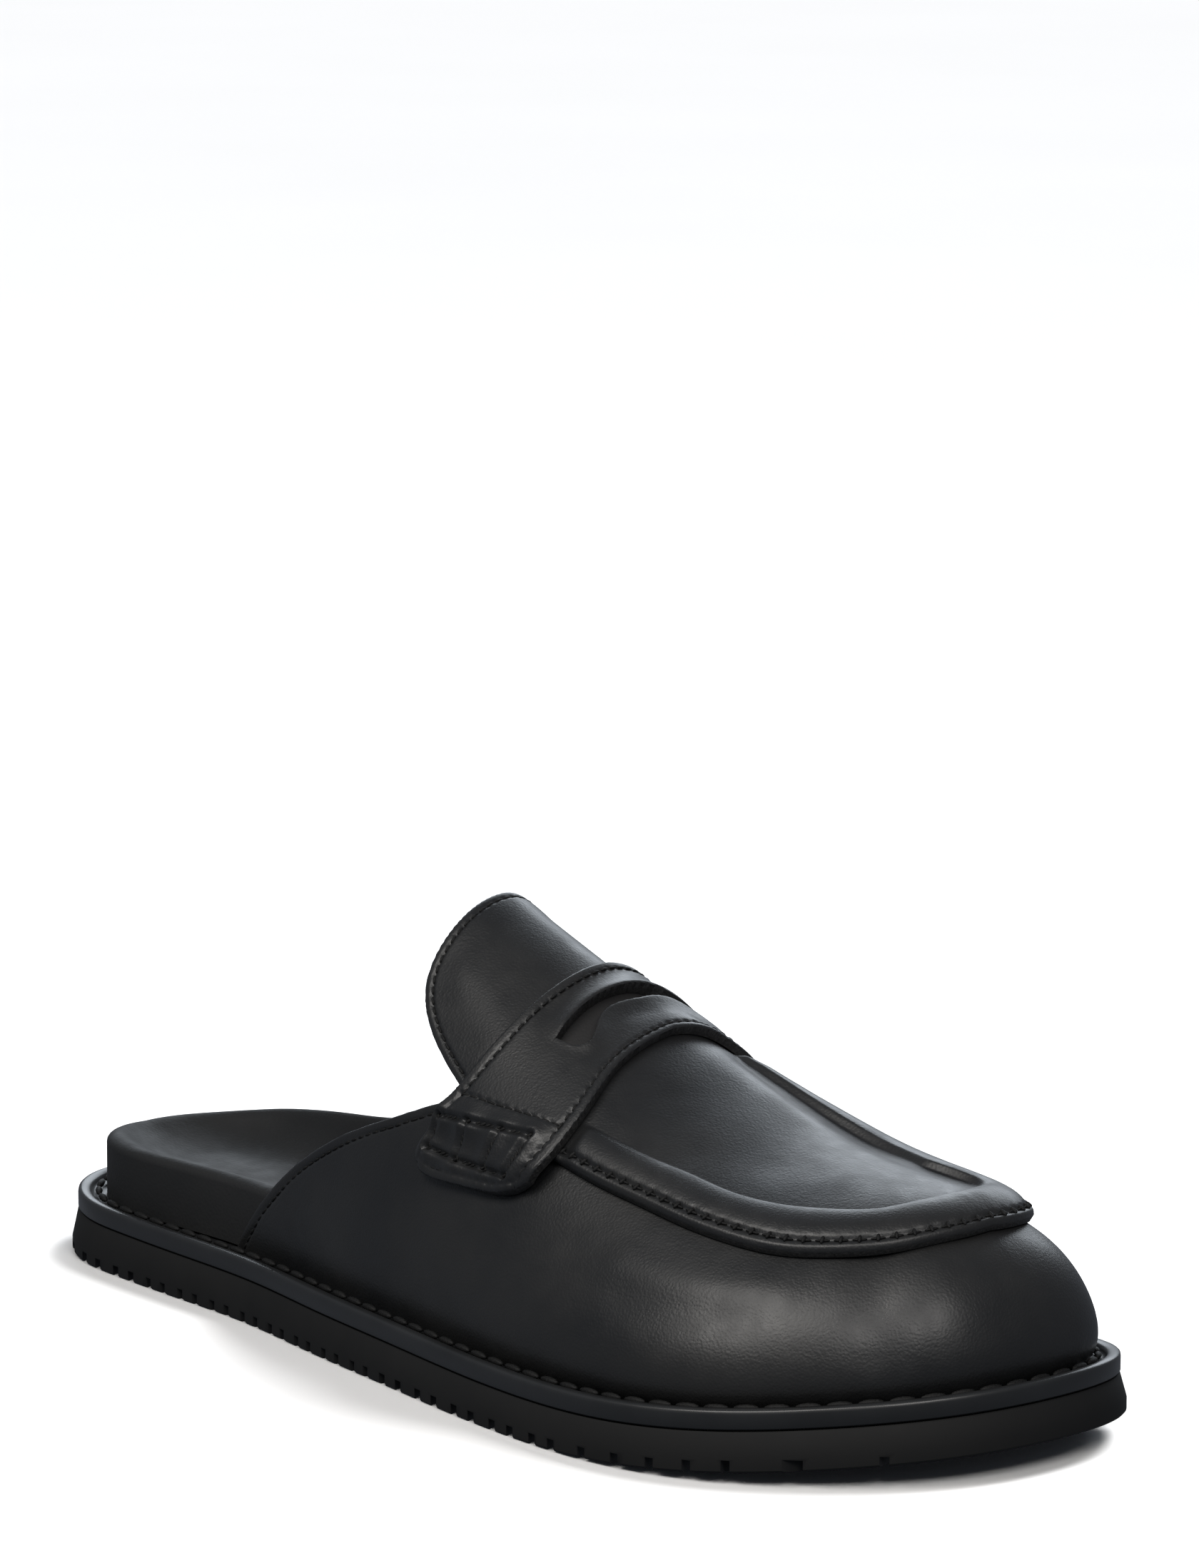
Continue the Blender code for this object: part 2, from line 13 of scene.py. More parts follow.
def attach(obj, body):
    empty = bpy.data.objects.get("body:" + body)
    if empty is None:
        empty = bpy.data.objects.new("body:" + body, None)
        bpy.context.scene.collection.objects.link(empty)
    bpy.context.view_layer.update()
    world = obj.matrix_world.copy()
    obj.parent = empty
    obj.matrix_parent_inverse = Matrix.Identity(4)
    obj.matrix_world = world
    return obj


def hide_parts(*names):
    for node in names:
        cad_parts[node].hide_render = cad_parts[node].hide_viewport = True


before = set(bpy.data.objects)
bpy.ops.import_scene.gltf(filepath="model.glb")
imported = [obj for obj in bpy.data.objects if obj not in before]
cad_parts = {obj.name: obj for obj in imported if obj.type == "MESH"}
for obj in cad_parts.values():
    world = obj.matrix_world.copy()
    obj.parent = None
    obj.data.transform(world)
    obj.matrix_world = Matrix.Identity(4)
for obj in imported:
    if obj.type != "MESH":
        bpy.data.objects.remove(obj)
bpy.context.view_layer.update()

# Sole sizes
SOLE_LENGTH = 0.295
HEEL_WIDTH = 0.0700
BALL_WIDTH = 0.1110
TOE_SHIFT = 0.0060
OUTSOLE_THICKNESS = 0.0085
HEEL_WEDGE = 0.0015
HEEL_WEDGE_END = 0.62
OUTSOLE_FLARE = 0.0014
FLARE_HEIGHT = 0.35
TOE_SPRING = 0.0070
TOE_SPRING_START = 0.66
HEEL_SPRING = 0.0008
HEEL_SPRING_END = 0.10
LUG_DEPTH = 0.0025
LUG_GROOVE = 0.0021
LUG_PITCH = 0.0133
LUG_PAIR = 0.45
TOE_LUGS_START = 0.74
TOE_LUG_PITCH = 0.0190
LUG_ZIGZAG = 0.0080
WELT_THICKNESS = 0.0045
WELT_LIP = 0.0030
WELT_GROOVE_DEPTH = 0.0021
LIP_ROUNDING = 0.0012

# Upper sizes
UPPER_INSET = 0.0070
VAMP_WALL = 0.0018
INSTEP_HEIGHT = 0.0900
SPINE_LEAD = 0.0500
LEAD_START = 0.50
LEAD_END = 1.06
LEAD_POWER = 1.3
SPINE_SHIFT = 0.09
WALL_BULGE = 0.05
BULGE_RISE = 0.22
POLE_REACH = 0.016
APRON_THICKNESS = 0.0017
APRON_RIDGE = 0.0018
RIDGE_FADE = 0.014
TONGUE_THICKNESS = 0.0018
TONGUE_TIP = 0.428
TONGUE_TIP_ANGLE = 0.515
TONGUE_ROOT_ANGLE = 0.43
TONGUE_ROOT_GAP = 0.004
TONGUE_ROUNDING = 0.075
TONGUE_CORNER = 9
STRAP_THICKNESS = 0.0023
STRAP_REAR_END = 0.73
STRAP_FRONT_END = 0.625
STRAP_CORNER = 0.08
STRAP_REACH = 1.16
STRAP_RAMP = 0.06
SLOT_HALF_LENGTH = 0.0235
SLOT_WIDTH = 0.0070
SLOT_BOW = 0.0028
SLOT_PLACE = 0.567
FOOTBED_INSET = 0.0065
RIM_HEIGHT = 0.0148
RIM_LEAN = 0.0019
RIM_ROUNDING = 0.0036
COVER_START = 0.10
COVER_LEAD = 0.02
FIT = 0.0003
LAYER_FIT = 0.0004
BACKING = 0.0002
EDGE_ROUNDING = 0.0006
TONGUE_EDGE_ROUNDING = 0.0005
STRAP_EDGE_ROUNDING = 0.0007
BED_AXIS_START = 0.13
BED_AXIS_END = 0.84
BED_UPRIGHT = 0.86
BED_RINGS = 24

# Outline of the sole: share of the length, outer and inner half width
HEEL_OUTLINE = (
    (0.012, 0.206, 0.231), (0.035, 0.321, 0.361), (0.070, 0.406, 0.454),
    (0.120, 0.452, 0.503), (0.200, 0.492, 0.512), (0.300, 0.541, 0.502),
)
BALL_OUTLINE = (
    (0.400, 0.399, 0.308), (0.500, 0.452, 0.330), (0.600, 0.504, 0.385),
    (0.700, 0.540, 0.445), (0.780, 0.541, 0.460), (0.860, 0.479, 0.436),
    (0.920, 0.366, 0.392), (0.960, 0.253, 0.334), (0.985, 0.140, 0.255),
)
# Share of the length, share of INSTEP_HEIGHT
SPINE = (
    (0.20, 1.270), (0.35, 1.190), (0.42, 1.110), (0.50, 1.000), (0.60, 0.840),
    (0.70, 0.690), (0.80, 0.600), (0.90, 0.575), (1.00, 0.570),
)
# Share along the side, squareness of the section
SECTION = ((0.00, 2.00), (0.55, 2.10), (0.75, 2.35), (1.00, 3.00))
# Share along the side, outer and inner rim, dished middle
RIM = (
    (0.00, 0.90, 0.90, 0.58), (0.06, 0.96, 0.95, 0.55), (0.12, 0.98, 1.13, 0.55),
    (0.20, 0.98, 1.42, 0.54), (0.28, 0.97, 1.62, 0.55), (0.38, 0.88, 1.62, 0.60),
    (0.52, 0.64, 0.95, 0.50), (0.70, 0.48, 0.50, 0.44), (1.00, 0.45, 0.45, 0.42),
)
# Height angle, share along the side of the upper's rear edge
TOPLINE = (
    (0.00, 0.560), (0.46, 0.530), (0.56, 0.487), (0.66, 0.435),
    (0.75, 0.376), (0.84, 0.319), (0.92, 0.277), (1.00, 0.245),
)
# Share along the side, height angle of the apron's edge, ridge as a share of it
APRON_EDGE = (
    (0.50, 0.535, 0.80), (0.60, 0.520, 0.80), (0.66, 0.492, 0.78),
    (0.72, 0.467, 0.76), (0.78, 0.473, 0.76), (0.85, 0.495, 0.73),
    (0.90, 0.482, 0.73), (0.95, 0.446, 0.69), (1.00, 0.430, 0.67),
)
# Height angle, shares along the side of the strap's rear and front edges
STRAP_EDGES = (
    (0.00, 0.522, 0.604), (0.20, 0.522, 0.606), (0.40, 0.516, 0.613),
    (0.50, 0.508, 0.609), (0.60, 0.493, 0.597), (0.75, 0.463, 0.583),
)
# Share of the slot's half length, share of its width
SLOT_FRONT = (
    (0.00, 0.62), (0.20, 0.56), (0.40, 0.52), (0.55, 0.62), (0.70, 0.88),
    (0.82, 1.00), (0.92, 0.82), (0.98, 0.42), (1.00, 0.00),
)

# Thread and stitches
THREAD = 0.0007
EDGE_PITCH = 0.0027
STITCH_LENGTH = 0.0021
STITCH_SUNK = 0.00025
STITCH_INSET = 0.0021
ROW_WIDTH = 0.0005
ROW_DEPTH = 0.00018
HOLE_DEPTH = 0.00030
WELT_THREAD = 0.0017
WELT_PITCH = 0.0065
WELT_STITCH_LENGTH = 0.0056
WELT_STITCH_RISE = 0.0014
APRON_PITCH = 0.0039
APRON_STITCH_INSET = 0.0026
APRON_STITCH_LENGTH = 0.0032
APRON_STITCH_SUNK = 0.00035
TIE_THREAD = 0.0009
TIE_LENGTH = 0.0022
TIE_SUNK = 0.00010
TIE_TURN = 80
WHIP_THREAD = 0.0008
WHIP_PITCH = 0.0015
WHIP_SUNK = 0.00020
WHIP_TURN = 38
END_ROW_INSET = 0.030
STRAP_ROW_INSET = 0.080

CURVE_SAMPLES = 1201
STRAP_ROWS = 101
SIDE_SAMPLES = 48


def read(table, index, shares):
    """A column of a table, read as one soft curve."""
    key = (id(table), index)
    if key not in CURVES:
        rows = np.array(table)
        xs = rows[:, 0]
        ys = rows[:, index]
        slopes = np.gradient(ys, xs)
        fine = np.linspace(xs[0], xs[-1], CURVE_SAMPLES)
        k = np.clip(np.searchsorted(xs, fine) - 1, 0, len(xs) - 2)
        step = xs[k + 1] - xs[k]
        t = (fine - xs[k]) / step
        curve = ys[k] * (1 + 2 * t) * (1 - t) ** 2 + ys[k + 1] * t * t * (3 - 2 * t)
        curve += step * (slopes[k] * t * (1 - t) ** 2 + slopes[k + 1] * t * t * (t - 1))
        reach = int(0.18 * CURVE_SAMPLES / len(xs))
        soft = np.hanning(2 * reach + 1)
        before = 2 * curve[0] - curve[reach:0:-1]
        after = 2 * curve[-1] - curve[-2:-reach - 2:-1]
        padded = np.concatenate([before, curve, after])
        CURVES[key] = fine, np.convolve(padded, soft / soft.sum(), "valid")
    return np.interp(shares, *CURVES[key])


CURVES = {}


def smooth(value, low, high):
    t = np.clip((value - low) / (high - low), 0.0, 1.0)
    return t * t * (3 - 2 * t)


def closed_spline(points, samples):
    """A smooth closed curve through the points, with its outward normals."""
    points = np.array(points)
    count = len(points)
    gaps = np.linalg.norm(np.roll(points, -1, 0) - points, axis=1)
    rises = (np.roll(points, -1, 0) - points) / gaps[:, None]
    matrix = np.zeros((count, count))
    right = np.zeros((count, 2))
    for k in range(count):
        before = (k - 1) % count
        matrix[k, before] = gaps[k]
        matrix[k, k] = 2 * (gaps[before] + gaps[k])
        matrix[k, (k + 1) % count] = gaps[before]
        right[k] = 3 * (gaps[k] * rises[before] + gaps[before] * rises[k])
    slopes = np.linalg.solve(matrix, right)
    curve = []
    normals = []
    for k in range(count):
        after = (k + 1) % count
        h = gaps[k]
        for t in np.arange(samples) / samples:
            curve.append(points[k] * (1 + 2 * t) * (1 - t) ** 2 + points[after] * t * t * (3 - 2 * t)
                         + h * (slopes[k] * t * (1 - t) ** 2 + slopes[after] * t * t * (t - 1)))
            tangent = (6 * t * (t - 1) * (points[k] - points[after]) / h
                       + slopes[k] * (1 - t) * (1 - 3 * t) + slopes[after] * t * (3 * t - 2))
            tangent /= np.linalg.norm(tangent)
            normals.append((tangent[1], -tangent[0]))
    return np.array(curve), np.array(normals)


def outline_points():
    outer = []
    inner = []
    for table, width in ((HEEL_OUTLINE, HEEL_WIDTH), (BALL_OUTLINE, BALL_WIDTH)):
        for share, outer_half, inner_half in table:
            outer.append((share * SOLE_LENGTH, -outer_half * width))
            inner.append((share * SOLE_LENGTH, inner_half * width))
    return [(0.0, 0.0)] + outer + [(SOLE_LENGTH, TOE_SHIFT)] + inner[::-1], len(outer) + 1


OUTLINE, TOE_KNOT = outline_points()
CURVE, NORMALS = closed_spline(OUTLINE, SIDE_SAMPLES)
CENTRE = np.array([SOLE_LENGTH / 2, (CURVE[:, 1].min() + CURVE[:, 1].max()) / 2, 0.0])


class Side:
    """One side of the outline moved in by an inset, from the heel's end to the toe's end."""

    def __init__(self, inset, inner):
        toe = TOE_KNOT * SIDE_SAMPLES
        moved = CURVE - NORMALS * inset
        points = moved[:toe + 1]
        if inner:
            points = np.vstack([moved[toe:], moved[:1]])[::-1]
        self.points = points
        steps = np.linalg.norm(np.diff(points, axis=0), axis=1)
        self.shares = np.concatenate([[0.0], np.cumsum(steps)])
        self.shares /= self.shares[-1]

    def at(self, share):
        x = np.interp(share, self.shares, self.points[:, 0])
        y = np.interp(share, self.shares, self.points[:, 1])
        return np.stack([x, y], -1)


def ground(x):
    share = x / SOLE_LENGTH
    toe = np.clip((share - TOE_SPRING_START) / (1 - TOE_SPRING_START), 0.0, None)
    heel = np.clip(1 - share / HEEL_SPRING_END, 0.0, None)
    return TOE_SPRING * toe ** 2 + HEEL_SPRING * heel ** 2


def outsole_top(x):
    wedge = HEEL_WEDGE * np.clip(1 - x / (HEEL_WEDGE_END * SOLE_LENGTH), 0.0, 1.0)
    return ground(x) + OUTSOLE_THICKNESS + wedge


def seat(x):
    return outsole_top(x) + FIT + WELT_THICKNESS - WELT_GROOVE_DEPTH + FIT


FEET = (Side(UPPER_INSET, False), Side(UPPER_INSET, True))


def centre_line(x):
    ys = [np.interp(x, side.points[:, 0], side.points[:, 1]) for side in FEET]
    return (ys[0] + ys[1]) / 2 + SPINE_SHIFT * (ys[1] - ys[0])


def last(share, angle):
    """The outside of the upper: share along the side, angle from -1 (outer) over 0 to 1 (inner)."""
    share, angle = np.broadcast_arrays(np.asarray(share, float), np.asarray(angle, float))
    outer, inner = (side.at(share) for side in FEET)
    foot = np.where((angle < 0)[..., None], outer, inner)
    middle = (outer[..., 0] + inner[..., 0]) / 2
    lead = smooth(middle / SOLE_LENGTH, LEAD_START, LEAD_END)
    spine_x = middle - SPINE_LEAD * lead ** LEAD_POWER
    spine = np.stack([spine_x, centre_line(spine_x)], -1)
    turn = np.abs(angle) * math.pi / 2
    power = read(SECTION, 1, share)
    radius = (np.sin(turn) ** power + np.abs(np.cos(turn)) ** power) ** (-1 / power)
    reach = radius * np.sin(turn)
    rise = radius * np.cos(turn)
    reach = reach * (1 + WALL_BULGE * (rise / BULGE_RISE) * np.exp(1 - rise / BULGE_RISE))
    flat = spine + (foot - spine) * reach[..., None]
    floor = seat(foot[..., 0])
    height = floor + (INSTEP_HEIGHT * read(SPINE, 1, flat[..., 0] / SOLE_LENGTH) - floor) * rise
    return np.concatenate([flat, height[..., None]], -1)


def unit(vectors):
    return vectors / np.linalg.norm(vectors, axis=-1, keepdims=True)


def outward(share, angle):
    """The normal of the upper's outside. At the toe's middle line, the mean of both sides'."""
    step = 0.004
    near = np.minimum(share, 1 - 3 * step)

    def one_side(angle):
        along = last(near + step, angle) - last(near - step, angle)
        across = last(near, np.minimum(angle + step, 1.0)) - last(near, np.maximum(angle - step, -1.0))
        return unit(np.cross(along, across))

    fold = smooth(np.asarray(share), 1 - 6 * step, 1.0)[..., None]
    normal = unit(one_side(angle) + fold * one_side(-np.asarray(angle)))
    from_pole = np.linalg.norm(last(share, angle) - last(1.0, 0.0), axis=-1)
    clear = smooth(from_pole, 0.0, POLE_REACH)[..., None]
    return unit(normal * clear + np.array([0.0, 0.0, 1.0]) * (1 - clear))


def raised(share, angle, offset):
    """A point of the upper's outside, moved out along its normal."""
    share, angle, offset = np.broadcast_arrays(*(np.asarray(v, float) for v in (share, angle, offset)))
    return last(share, angle) + outward(share, angle) * offset[..., None]


def row_share(along, angle):
    start = read(TOPLINE, 1, np.abs(angle))
    return start + (1 - start) * along


def apron_edge(share):
    return read(APRON_EDGE, 1, share)


# Camera, light and floor

def aim(obj, target):
    direction = Vector(target) - obj.location
    obj.rotation_euler = direction.to_track_quat("-Z", "Y").to_euler()


def set_camera():
    data = bpy.data.cameras.new("camera")
    data.sensor_width = 36.0
    data.lens = 162.6
    camera = bpy.data.objects.new("camera", data)
    camera.location = (1.10956, -1.03984, 0.40146)
    camera.rotation_euler = [math.radians(a) for a in (79.7476, -0.2132, 46.3814)]
    bpy.context.scene.collection.objects.link(camera)
    bpy.context.scene.camera = camera


def soft_box(name, place, target, size, power, colour):
    data = bpy.data.lights.new(name, "AREA")
    data.shape = "RECTANGLE"
    data.size, data.size_y = size
    data.energy = power
    data.color = colour
    light = bpy.data.objects.new(name, data)
    light.location = place
    aim(light, target)
    bpy.context.scene.collection.objects.link(light)
    return light


def set_studio():
    """Soft boxes, a pale world and a pale floor that only the camera sees at full brightness."""
    soft_box("key_box", (0.10, -0.75, 1.05), (0.02, 0, 0.04), (0.9, 0.5), 9.0, (1.0, 0.97, 0.93))
    soft_box("toe_box", (0.85, -0.35, 0.75), (0.08, 0, 0.04), (0.45, 0.35), 3.6, (1.0, 0.97, 0.94))
    soft_box("back_box", (-0.75, 1.05, 0.65), (0.02, 0, 0.05), (1.4, 0.6), 9.0, (0.86, 0.93, 1.0))
    world = bpy.data.worlds.new("studio")
    bpy.context.scene.world = world
    world.use_nodes = True
    nodes = world.node_tree.nodes
    links = world.node_tree.links
    dim = nodes["Background"]
    dim.inputs["Color"].default_value = (0.80, 0.87, 1.0, 1.0)
    dim.inputs["Strength"].default_value = 0.16
    pale = nodes.new("ShaderNodeBackground")
    pale.inputs["Color"].default_value = (0.97, 0.98, 1.0, 1.0)
    pale.inputs["Strength"].default_value = 1.0
    ray = nodes.new("ShaderNodeLightPath")
    mix = nodes.new("ShaderNodeMixShader")
    links.new(ray.outputs["Is Camera Ray"], mix.inputs[0])
    links.new(dim.outputs[0], mix.inputs[1])
    links.new(pale.outputs[0], mix.inputs[2])
    links.new(mix.outputs[0], nodes["World Output"].inputs[0])
    bpy.ops.mesh.primitive_plane_add(size=40.0)
    floor = bpy.context.object
    floor.name = "floor"
    floor.data.materials.append(floor_paint())
    floor.visible_glossy = False
    floor.visible_diffuse = False
    wash = bpy.data.lights.new("floor_wash", "SUN")
    wash.energy = 4.3
    wash.angle = math.radians(26)
    sun = bpy.data.objects.new("floor_wash", wash)
    sun.rotation_euler = (math.radians(-32), math.radians(8), 0)
    bpy.context.scene.collection.objects.link(sun)
    lit = bpy.data.collections.new("lit_by_floor_wash")
    lit.objects.link(floor)
    sun.light_linking.receiver_collection = lit
    bpy.context.scene.view_settings.view_transform = "Standard"


# Materials

def finish(name, roughness, coat=0.0, coat_roughness=0.3, specular=0.5):
    """A new material with a Principled shader, and a small tool for its nodes."""
    made = bpy.data.materials.new(name)
    made.use_nodes = True
    shader = made.node_tree.nodes["Principled BSDF"]
    shader.inputs["Roughness"].default_value = roughness
    shader.inputs["Coat Weight"].default_value = coat
    shader.inputs["Coat Roughness"].default_value = coat_roughness
    shader.inputs["Specular IOR Level"].default_value = specular
    return made, shader


def feed(shader, name, value):
    """Links a value to a socket by name."""
    shader.id_data.links.new(value, shader.inputs[name])


def node(made, kind, **values):
    """A node with its sockets set by name, a socket or a number each."""
    new = made.node_tree.nodes.new(kind)
    for key, value in values.items():
        key = key.replace("_", " ")
        if isinstance(value, bpy.types.NodeSocket):
            feed(new, key, value)
        else:
            new.inputs[key].default_value = value
    return new


def in_metres(made):
    return node(made, "ShaderNodeTexCoord").outputs["Object"]


def ramp(made, value, stops):
    """Colours or numbers between stops of a value."""
    new = made.node_tree.nodes.new("ShaderNodeValToRGB")
    made.node_tree.links.new(value, new.inputs[0])
    while len(new.color_ramp.elements) < len(stops):
        new.color_ramp.elements.new(0.5)
    for element, (place, colour) in zip(new.color_ramp.elements, stops):
        element.position = place
        if isinstance(colour, (int, float)):
            colour = (colour, colour, colour)
        element.color = (*colour, 1.0)
    return new.outputs[0]


def bumps(made, shader, layers):
    """Heights laid one on another: each layer is a socket, a strength and a distance in metres."""
    normal = None
    for height, strength, distance in layers:
        bump = node(made, "ShaderNodeBump", Strength=strength, Distance=distance, Height=height)
        if normal is not None:
            feed(bump, "Normal", normal)
        normal = bump.outputs[0]
    feed(shader, "Normal", normal)


def leather(name, dark, light, roughness, grain=0.00055, depth=0.00007, coat=0.12, specular=0.5):
    """Calf: pebble grain of a size, fine pores, clouds in its colour and gloss."""
    made, shader = finish(name, roughness, coat, 0.28, specular)
    where = in_metres(made)
    drift = node(made, "ShaderNodeTexNoise", Vector=where, Scale=900.0, Detail=2.0).outputs["Color"]
    warp = node(made, "ShaderNodeVectorMath")
    warp.operation = "MULTIPLY_ADD"
    made.node_tree.links.new(drift, warp.inputs[0])
    warp.inputs[1].default_value = (0.0005, 0.0005, 0.0005)
    made.node_tree.links.new(where, warp.inputs[2])
    cells = node(made, "ShaderNodeTexVoronoi", Vector=warp.outputs[0], Scale=1 / grain)
    cells.feature = "SMOOTH_F1"
    pebble = cells.outputs["Distance"]
    pores = node(made, "ShaderNodeTexNoise", Vector=where, Scale=3600.0, Detail=3.0).outputs["Fac"]
    waves = node(made, "ShaderNodeTexNoise", Vector=where, Scale=170.0, Detail=3.0).outputs["Fac"]
    clouds = node(made, "ShaderNodeTexNoise", Vector=where, Scale=28.0, Detail=4.0).outputs["Fac"]
    feed(shader, "Base Color", ramp(made, clouds, ((0.35, dark), (0.65, light))))
    low = roughness - 0.05
    feed(shader, "Roughness", ramp(made, waves, ((0.3, low), (0.7, roughness + 0.06))))
    bumps(made, shader, ((waves, 0.5, 0.00010), (pebble, 0.8, depth), (pores, 0.5, 0.00001)))
    return made


def rubber(name, dark, light, roughness, coat, speck, specular=0.5):
    made, shader = finish(name, roughness, coat, 0.25, specular)
    where = in_metres(made)
    fine = node(made, "ShaderNodeTexNoise", Vector=where, Scale=1 / speck, Detail=4.0).outputs["Fac"]
    broad = node(made, "ShaderNodeTexNoise", Vector=where, Scale=60.0, Detail=5.0).outputs["Fac"]
    feed(shader, "Base Color", ramp(made, broad, ((0.3, dark), (0.7, light))))
    feed(shader, "Roughness", ramp(made, broad, ((0.3, roughness - 0.06), (0.7, roughness + 0.06))))
    bumps(made, shader, ((fine, 0.5, 0.00003), (broad, 0.3, 0.00010)))
    return made


def thread_finish():
    made, shader = finish("waxed_thread", 0.65, specular=0.25)
    where = in_metres(made)
    twist = node(made, "ShaderNodeTexNoise", Vector=where, Scale=2600.0, Detail=2.0).outputs["Fac"]
    feed(shader, "Base Color", ramp(made, twist, ((0.3, 0.004), (0.7, 0.014))))
    bumps(made, shader, ((twist, 0.7, 0.00012),))
    return made


def cut_edge():
    made, shader = finish("inked_edge", 0.55)
    where = in_metres(made)
    fibres = node(made, "ShaderNodeTexNoise", Vector=where, Scale=1500.0, Detail=6.0).outputs["Fac"]
    feed(shader, "Base Color", ramp(made, fibres, ((0.3, 0.006), (0.75, (0.028, 0.027, 0.026)))))
    bumps(made, shader, ((fibres, 0.8, 0.00025),))
    return made


def floor_paint():
    made, shader = finish("floor_paint", 0.9, specular=0.0)
    where = in_metres(made)
    cloud = node(made, "ShaderNodeTexNoise", Vector=where, Scale=3.0, Detail=2.0).outputs["Fac"]
    feed(shader, "Base Color", ramp(made, cloud, ((0.0, 0.74), (1.0, 0.77))))
    return made


# Tools for pieces

def deselect():
    bpy.ops.object.select_all(action="DESELECT")


def only(piece):
    deselect()
    piece.select_set(True)
    bpy.context.view_layer.objects.active = piece


def coordinates(piece):
    flat = np.empty(len(piece.data.vertices) * 3)
    piece.data.vertices.foreach_get("co", flat)
    return flat.reshape(-1, 3)


def lay(piece, points):
    piece.data.vertices.foreach_set("co", np.asarray(points, float).ravel())
    piece.data.update()


def grid(name, rows, columns):
    """A grid primitive, with the shares from 0 to 1 and from -1 to 1 that each point stands for."""
    deselect()
    bpy.ops.mesh.primitive_grid_add(x_subdivisions=rows, y_subdivisions=columns, size=2.0)
    piece = bpy.context.object
    piece.name = name
    piece.data.name = name
    flat = coordinates(piece)
    return piece, (flat[:, 0] + 1) / 2, flat[:, 1]


def apply_all(piece):
    only(piece)
    for modifier in list(piece.modifiers):
        bpy.ops.object.modifier_apply(modifier=modifier.name)


def close_fold(piece):
    """Joins the points that meet on the toe's middle line."""
    only(piece)
    bpy.ops.object.mode_set(mode="EDIT")
    bpy.ops.mesh.select_all(action="SELECT")
    bpy.ops.mesh.remove_doubles(threshold=0.00002)
    bpy.ops.object.mode_set(mode="OBJECT")


def lay_wall(piece, outside, inside, finishes, prepare=None):
    """Makes a sheet into a wall, both faces laid point for point, lined and inked at the cut edge."""
    lay(piece, outside - CENTRE)
    for made in finishes:
        piece.data.materials.append(made)
    if prepare:
        prepare(piece)
    kept = coordinates(piece)
    tree = kdtree.KDTree(len(outside))
    for k, point in enumerate(outside - CENTRE):
        tree.insert(point, k)
    tree.balance()
    match = [tree.find(point)[1] for point in kept]
    solid = piece.modifiers.new("wall", "SOLIDIFY")
    solid.thickness = 0.0002
    solid.offset = -1
    solid.material_offset = 1
    solid.material_offset_rim = 2
    apply_all(piece)
    lay(piece, np.vstack([kept, inside[match] - CENTRE]))


def dress(piece, slot, *finishes, replaced=None, smooth_angle=55):
    """Finishes, shading and the body that a piece rides on."""
    for made in finishes:
        piece.data.materials.append(made)
    only(piece)
    bpy.ops.object.shade_smooth_by_angle(angle=math.radians(smooth_angle))
    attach(piece, "root")
    if replaced:
        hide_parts(replaced)


def finely(path, step=0.0003):
    """A path with a point at each step, and the distance along it."""
    path = np.asarray(path, float)
    lengths = np.concatenate([[0.0], np.cumsum(np.linalg.norm(np.diff(path, axis=0), axis=1))])
    count = max(2, int(lengths[-1] / step))
    along = np.linspace(0.0, lengths[-1], count)
    return np.stack([np.interp(along, lengths, path[:, k]) for k in range(3)], -1), along


def away(points, path):
    """Distance of each point from a path, and where along the path it is nearest."""
    fine, along = finely(path)
    tree = kdtree.KDTree(len(fine))
    for k, point in enumerate(fine):
        tree.insert(point, k)
    tree.balance()
    found = [tree.find(point) for point in points]
    return np.array([f[2] for f in found]), along[[f[1] for f in found]]


def dip(distance, width, depth):
    return -depth * np.exp(-(distance / width) ** 2)


def shaped(distance, table):
    """The dips and swells of a table of distance, width and depth, by the distance from a line."""
    return sum(dip(distance - place, width, depth) for place, width, depth in table)


def hollows(points, table, offset):
    """Soft troughs and swells along lines on the last."""
    relief = np.zeros(len(points))
    for share_a, angle_a, share_b, angle_b, width, depth in table:
        fold, _ = track((share_a, share_b), (angle_a, angle_b), offset, 60)
        relief += dip(away(points, fold)[0], width, depth)
    return relief


def pressed_row(points, line, pitch):
    """A groove pressed along a row of stitches, deeper where the thread goes in."""
    gap, at = away(points, line)
    length = np.linalg.norm(np.diff(line, axis=0), axis=1).sum()
    step = length / max(1, round(length / pitch))
    return dip(gap, ROW_WIDTH, ROW_DEPTH + HOLE_DEPTH * (0.5 + 0.5 * np.cos(2 * math.pi * at / step)))


def rounded(gap, radius):
    """How far a cut edge of this radius falls away, by the distance from the edge."""
    inside = np.clip(1 - gap / radius, 0.0, 1.0)
    return -radius * (1 - np.sqrt(1 - inside ** 2))


def uneven(points, size, height):
    """Slow unevenness of hand-lasted leather."""
    return np.array([noise.noise(Vector(p) / size) for p in points]) * height


def track(shares, angles, offset, samples=240):
    """A line on the last through places given by share and angle, with the normals along it."""
    t = np.linspace(0, len(shares) - 1, samples)
    at = np.arange(len(shares))
    share = np.interp(t, at, shares)
    angle = np.interp(t, at, angles)
    return raised(share, angle, offset), outward(share, angle)


def moved_in(line, normals, inset):
    """A line moved on its surface to the right of its direction."""
    return line + unit(np.cross(np.gradient(line, axis=0), normals)) * inset, normals


